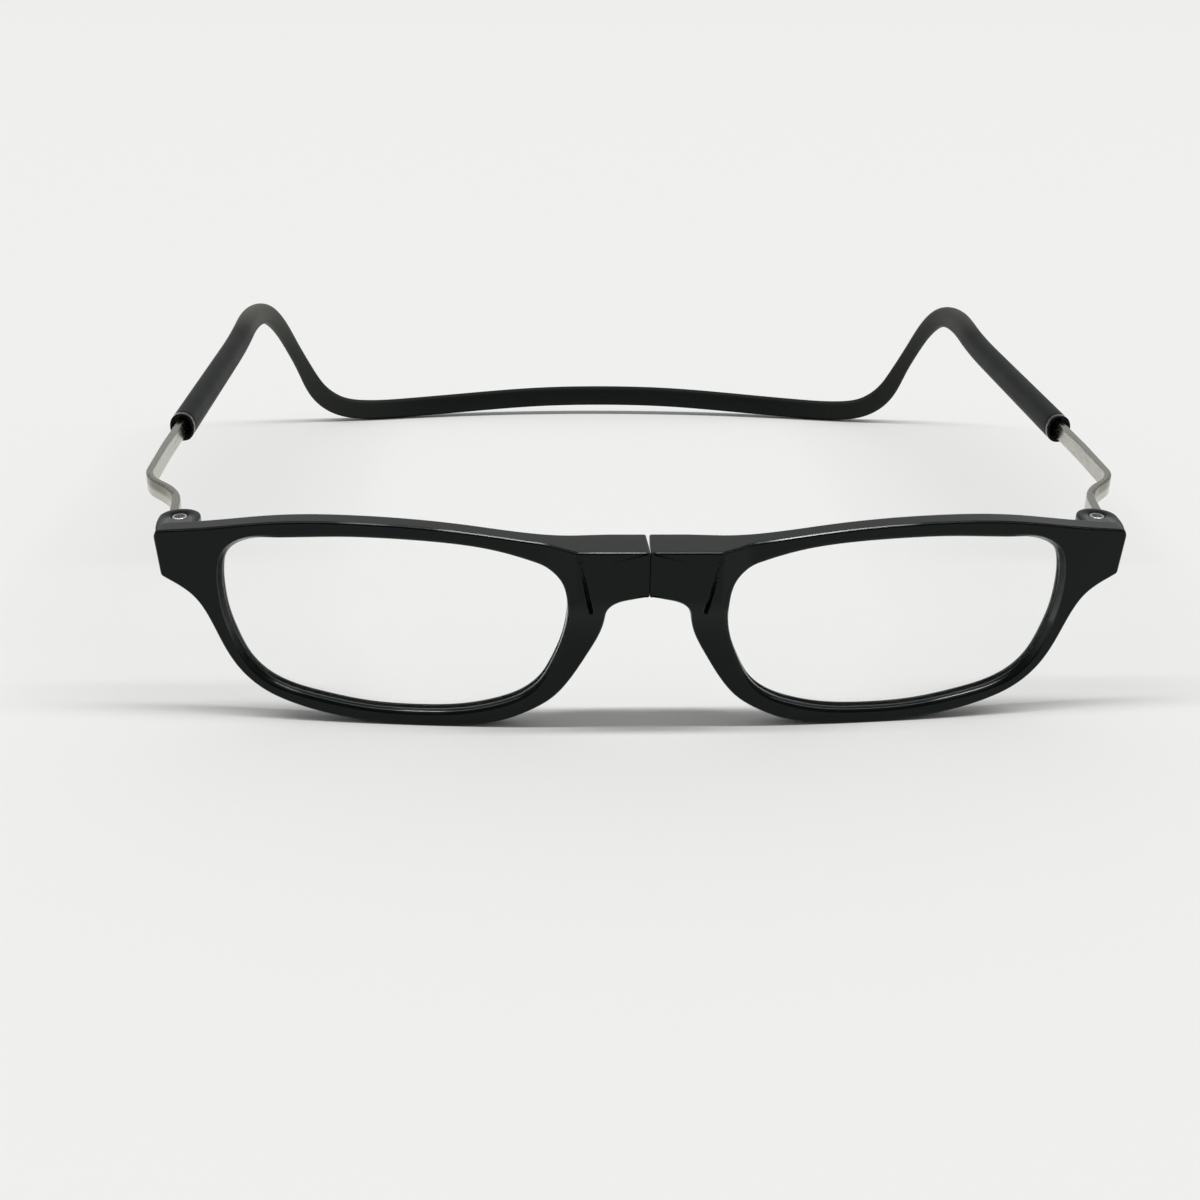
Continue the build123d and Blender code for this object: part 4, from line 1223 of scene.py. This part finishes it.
def ovals(widths, heights):
    """Oval sections, a little fuller than an ellipse, one for each width and height."""
    fuller = (np.abs(np.cos(angles)) ** 2.2 + np.abs(np.sin(angles)) ** 2.2) ** (-1 / 2.2)
    shape = np.stack([np.cos(angles), np.sin(angles)], 1) * fuller[:, None]
    return shape[None] * np.stack([widths, heights], 1)[:, None] / 2


def tube_run(y_from, y_to, count, width, height):
    """Straight stretch of a tube along the sleeve, as rings."""
    path = np.column_stack([np.full(count, BAR_X), np.linspace(y_from, y_to, count),
                            np.full(count, BAR_Z)])
    return carried(path, ovals(np.full(count, width), np.full(count, height)))


# %% [markdown]
# ### One skin from bore to bore
#
# Rings in a row make the skin: bottom of the bore, seat of the bush, mouth, sleeve, arch and
# neck, and then the same rings mirrored. Nothing is joined afterwards, so the light runs
# without a break from one sleeve to the other.

# %% Rings of the band
# Where the painted sheen starts and ends along Y, and how strong it is on each side.
SHEEN_FROM, SHEEN_TO, SHEEN_SHARE = (40, 56), (61, 76), {"right": 1, "left": 0.6}


def towards_mouth(y_from, y_to, width, height):
    """Three rings of a tube that is followed towards the mouth. Its across direction points the
    other way then, so the rings are mirrored about the bar's plane to put it back."""
    return (2 * BAR_X, 0, 0) + tube_run(y_from, y_to, 3, width, height) * [-1, 1, 1]


def band_grid():
    """Rings: bore from its bottom to the mouth, skin back to the middle of the neck, mirrored."""
    half = band_half()
    length = distance_along(half)[-1]
    steps = np.linspace(0, 1, 150)
    path = at_distances(half, steps * length)
    slim = smooth_step(TAPER_START, TAPER_END, steps)
    taller = smooth_step(NECK_START, NECK_END, steps)
    widths = SLEEVE_WIDTH + (BAND_WIDTH - SLEEVE_WIDTH) * slim
    heights = SLEEVE_HEIGHT + (DROP_HEIGHT - SLEEVE_HEIGHT) * slim + (BAND_HEIGHT - DROP_HEIGHT) * taller
    mouth = MOUTH_Y + BUSH_FLANGE
    step_y = mouth + BUSH_PLUG + 0.05
    bottom = SLEEVE_END_Y - BORE_SPARE
    pole = np.repeat([[[BAR_X, bottom, BAR_Z]]], len(angles), axis=1)
    bore = towards_mouth(bottom, step_y, BORE_WIDTH, BORE_HEIGHT)
    seat = towards_mouth(step_y, mouth, BUSH_PLUG_WIDTH + 0.1, BUSH_PLUG_HEIGHT + 0.1)
    edge = tube_run(mouth, mouth + 0.25, 2, SLEEVE_WIDTH - 0.2, SLEEVE_HEIGHT - 0.2)[:1]
    skin = tube_run(mouth + 0.12, SLEEVE_END_Y, 60, SLEEVE_WIDTH, SLEEVE_HEIGHT)
    back = carried(path, ovals(widths, heights))
    one = np.concatenate([pole, bore, seat, edge, skin, back[1:]])
    other = one[:-1][::-1] * [-1, 1, 1]
    return np.concatenate([one, other])


BAND = band_grid()
# Painted sheen: paler colour over the ears, full on the right side and weaker on the left.
PAINTED_SHEEN_MASK = smooth_step(*SHEEN_FROM, BAND[..., 1]) * (1 - smooth_step(*SHEEN_TO, BAND[..., 1]))
PAINTED_SHEEN_MASK *= np.where(BAND[..., 0] < 0, SHEEN_SHARE["right"], SHEEN_SHARE["left"])
band = make_piece("neck_band", [(BAND, False, True)], mask=("painted_sheen", PAINTED_SHEEN_MASK))
settle(band, "headband", "headband", BAND_PLASTIC)

# %% [markdown]
# ## Bushes and stops
#
# A glossy bush closes each sleeve's mouth and guides the bar. Its face is dished, with the
# slot for the bar in the floor, and its plug reaches into the sleeve. The stop on the bar's
# end is hidden in the bore, so it stays the CAD solid, with the band's finish.

# %% Bush surface
MOUTH_SINK, MOUTH_MARGIN, SLIDE_PLAY = 0.8, 0.45, 0.05


def slot_shape(width, height):
    """A nearly square-cornered loop: the oval's formula with a high power."""
    power = 10
    fuller = (np.abs(np.cos(angles)) ** power + np.abs(np.sin(angles)) ** power) ** (-1 / power)
    return np.stack([np.cos(angles), np.sin(angles)], 1) * fuller[:, None] * (width / 2, height / 2)


def bush_grid():
    """Rings round the slot, from the plug's end through the slot, dish, lip and skin and back."""
    slot = slot_shape(BAR_THICKNESS + 2 * SLIDE_PLAY, BAR_HEIGHT + 2 * SLIDE_PLAY)

    def oval(inset):
        """The sleeve's own oval, drawn in by this much all round."""
        return ovals(np.array([SLEEVE_WIDTH - 2 * inset]), np.array([SLEEVE_HEIGHT - 2 * inset]))[0]

    plug = ovals(np.array([BUSH_PLUG_WIDTH]), np.array([BUSH_PLUG_HEIGHT]))[0]
    plug_end = MOUTH_Y + BUSH_FLANGE + BUSH_PLUG
    floor_y = MOUTH_Y + MOUTH_SINK
    rings = [(slot, plug_end), (slot, floor_y + 0.05), (slot * 1.03, floor_y),
             (oval(MOUTH_MARGIN + 0.05), floor_y), (oval(MOUTH_MARGIN), floor_y - 0.1),
             (oval(MOUTH_MARGIN), MOUTH_Y + 0.12)]
    rings += [(oval(MOUTH_MARGIN * (1 + math.cos(a)) / 2), MOUTH_Y + 0.2 * (1 - math.sin(a)))
              for a in np.linspace(0.2, math.pi - 0.2, 7)]
    rings += [(oval(0), MOUTH_Y + 0.25), (oval(0), MOUTH_Y + BUSH_FLANGE - 0.1),
              (oval(0.1), MOUTH_Y + BUSH_FLANGE), (plug, MOUTH_Y + BUSH_FLANGE), (plug, plug_end)]
    points = [np.column_stack([BAR_X + shape[:, 0], np.full(len(shape), y), BAR_Z + shape[:, 1]])
              for shape, y in rings]
    return np.stack(points, 1)


for side, sign in SIDES.items():
    bush = make_piece(f"{side}_bush", [(bush_grid(), True, True)], sign)
    settle(bush, "headband", f"{side}_sleeve_bush", BUSH_PLASTIC)
    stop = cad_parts[f"{side}_slide_stop"]
    stop.data.materials.clear()
    stop.data.materials.append(BAND_PLASTIC)

# %% [markdown]
# ## Table, light and camera
#
# The glasses lie on a wide white table, whose own colour makes the background. It could be a
# curved studio backdrop, but the camera looks down and sees nothing else than the table. It
# is matt, so the object's shadow is the only thing on it.

# %% White table
def table_material():
    """Matt white without any gloss; with the lamp's power its colour sets the background."""
    material = bpy.data.materials.new("white table")
    material.use_nodes = True
    shader = material.node_tree.nodes["Principled BSDF"]
    shader.inputs["Base Color"].default_value = (0.825, 0.829, 0.815, 1)
    shader.inputs["Roughness"].default_value = 0.9
    shader.inputs["Specular IOR Level"].default_value = 0
    return material


TABLE_REACH = 6000.0
corners = np.array([(-1, -1), (1, -1), (1, 1), (-1, 1)]) * TABLE_REACH * METRES_PER_MM
table_mesh = bpy.data.meshes.new("table")
table_mesh.from_pydata([(x, y, 0) for x, y in corners], [], [(0, 1, 2, 3)])
table = bpy.data.objects.new("table", table_mesh)
table.data.materials.append(table_material())
bpy.context.scene.collection.objects.link(table)

# %% [markdown]
# ### Light
#
# The photo's shadow is narrow from front to back and runs out sideways, and the bright lines
# on the edges are long and thin. Both say the same: a long narrow lamp nearly overhead,
# across the view. It is far away here, so its size is given as two angles. The room is dark
# in front of the glasses and bright behind them: the front faces mirror the dark side and
# stay black, the top faces mirror the bright side and turn grey. So the world is a gradient
# from front to back. What the camera sees of it, directly or through a lens, is an even pale
# wall instead. Light that has bounced off the table first isn't seen by the camera in that
# way, and rays off plastic and steel keep the gradient too, which gives them their look.

# %% World and lamp
DARK_SIDE, BRIGHT_SIDE, BACKGROUND = 0.06, 0.66, 0.855
world = bpy.data.worlds.new("pale room")
bpy.context.scene.world = world
world.use_nodes = True
tree = world.node_tree
place = add_node(tree, "TexCoord", {}).outputs["Generated"]
depth = add_node(tree, "SeparateXYZ", {"Vector": place}).outputs["Y"]
room = add_node(tree, "MapRange", {"Value": depth, "From Min": -1, "To Min": DARK_SIDE,
                                   "To Max": BRIGHT_SIDE}).outputs["Result"]
path = add_node(tree, "LightPath", {}).outputs
not_bounced = add_node(tree, "Math", {0: path["Diffuse Depth"], 1: 0.5}, operation="LESS_THAN")
through_lens = add_node(tree, "Math", {0: path["Is Transmission Ray"], 1: not_bounced.outputs["Value"]},
                        operation="MULTIPLY")
either = add_node(tree, "Math", {0: path["Is Camera Ray"], 1: through_lens.outputs["Value"]},
                  operation="MAXIMUM")
seen = add_node(tree, "Mix", {"Factor": either.outputs["Value"], "A": room, "B": BACKGROUND})
tree.links.new(seen.outputs["Result"], tree.nodes["Background"].inputs["Strength"])
tree.nodes["Background"].inputs["Color"].default_value = (1, 1, 1, 1)

LAMP_HEIGHT, LAMP_SPREAD, LAMP_POWER = 20.0, (96, 4), 4600
LAMP_TILT, LAMP_ASIDE = 3, 4
light = bpy.data.lights.new("long ceiling light", "AREA")
light.shape = "RECTANGLE"
light.size, light.size_y = 2 * LAMP_HEIGHT * np.tan(np.radians(LAMP_SPREAD) / 2)
light.energy = LAMP_POWER
lamp = bpy.data.objects.new("long ceiling light", light)
lamp.location = (LAMP_HEIGHT * math.tan(math.radians(LAMP_ASIDE)),
                 -LAMP_HEIGHT * math.tan(math.radians(LAMP_TILT)), LAMP_HEIGHT)
bpy.context.scene.collection.objects.link(lamp)
print("lamp", np.round((light.size, light.size_y), 2), "m, at", np.round(tuple(lamp.location), 2))

# %% [markdown]
# ### Camera
#
# The camera stands where the photo was taken: 28 cm in front of the middle of the glasses
# and 12 cm above the table, looking down by 25 degrees. The small turn aside and the small
# roll are those of a hand-held shot. They were found by laying measured points of the
# glasses over the same points in the photo. The lens follows from the field of view.

# %% Camera
PHOTO_PIXELS, FOCAL_PIXELS, SENSOR_MM = 1200, 1500, 36.0
CAMERA_PLACE = (-16.57, -278.84, 115.63)
LOOK_DOWN, LOOK_ASIDE, ROLL = math.radians(25), 0.046978, 0.016845

forward = Vector((math.sin(LOOK_ASIDE) * math.cos(LOOK_DOWN),
                  math.cos(LOOK_ASIDE) * math.cos(LOOK_DOWN), -math.sin(LOOK_DOWN)))
level = Vector((math.cos(LOOK_ASIDE), -math.sin(LOOK_ASIDE), 0))
upright = level.cross(forward)
right = level * math.cos(ROLL) + upright * math.sin(ROLL)
top = upright * math.cos(ROLL) - level * math.sin(ROLL)
camera_data = bpy.data.cameras.new("camera")
camera_data.sensor_width = SENSOR_MM
camera_data.lens = SENSOR_MM * FOCAL_PIXELS / PHOTO_PIXELS
camera_data.clip_start = 10 * METRES_PER_MM
camera = bpy.data.objects.new("camera", camera_data)
camera.matrix_world = Matrix.Translation(Vector(CAMERA_PLACE) * METRES_PER_MM) @ Matrix(
    (right, top, -forward)).transposed().to_4x4()
bpy.context.scene.collection.objects.link(camera)
bpy.context.scene.camera = camera
bpy.context.scene.view_settings.view_transform = "Standard"
print("camera lens", round(camera_data.lens, 1), "mm on a sensor of", SENSOR_MM)
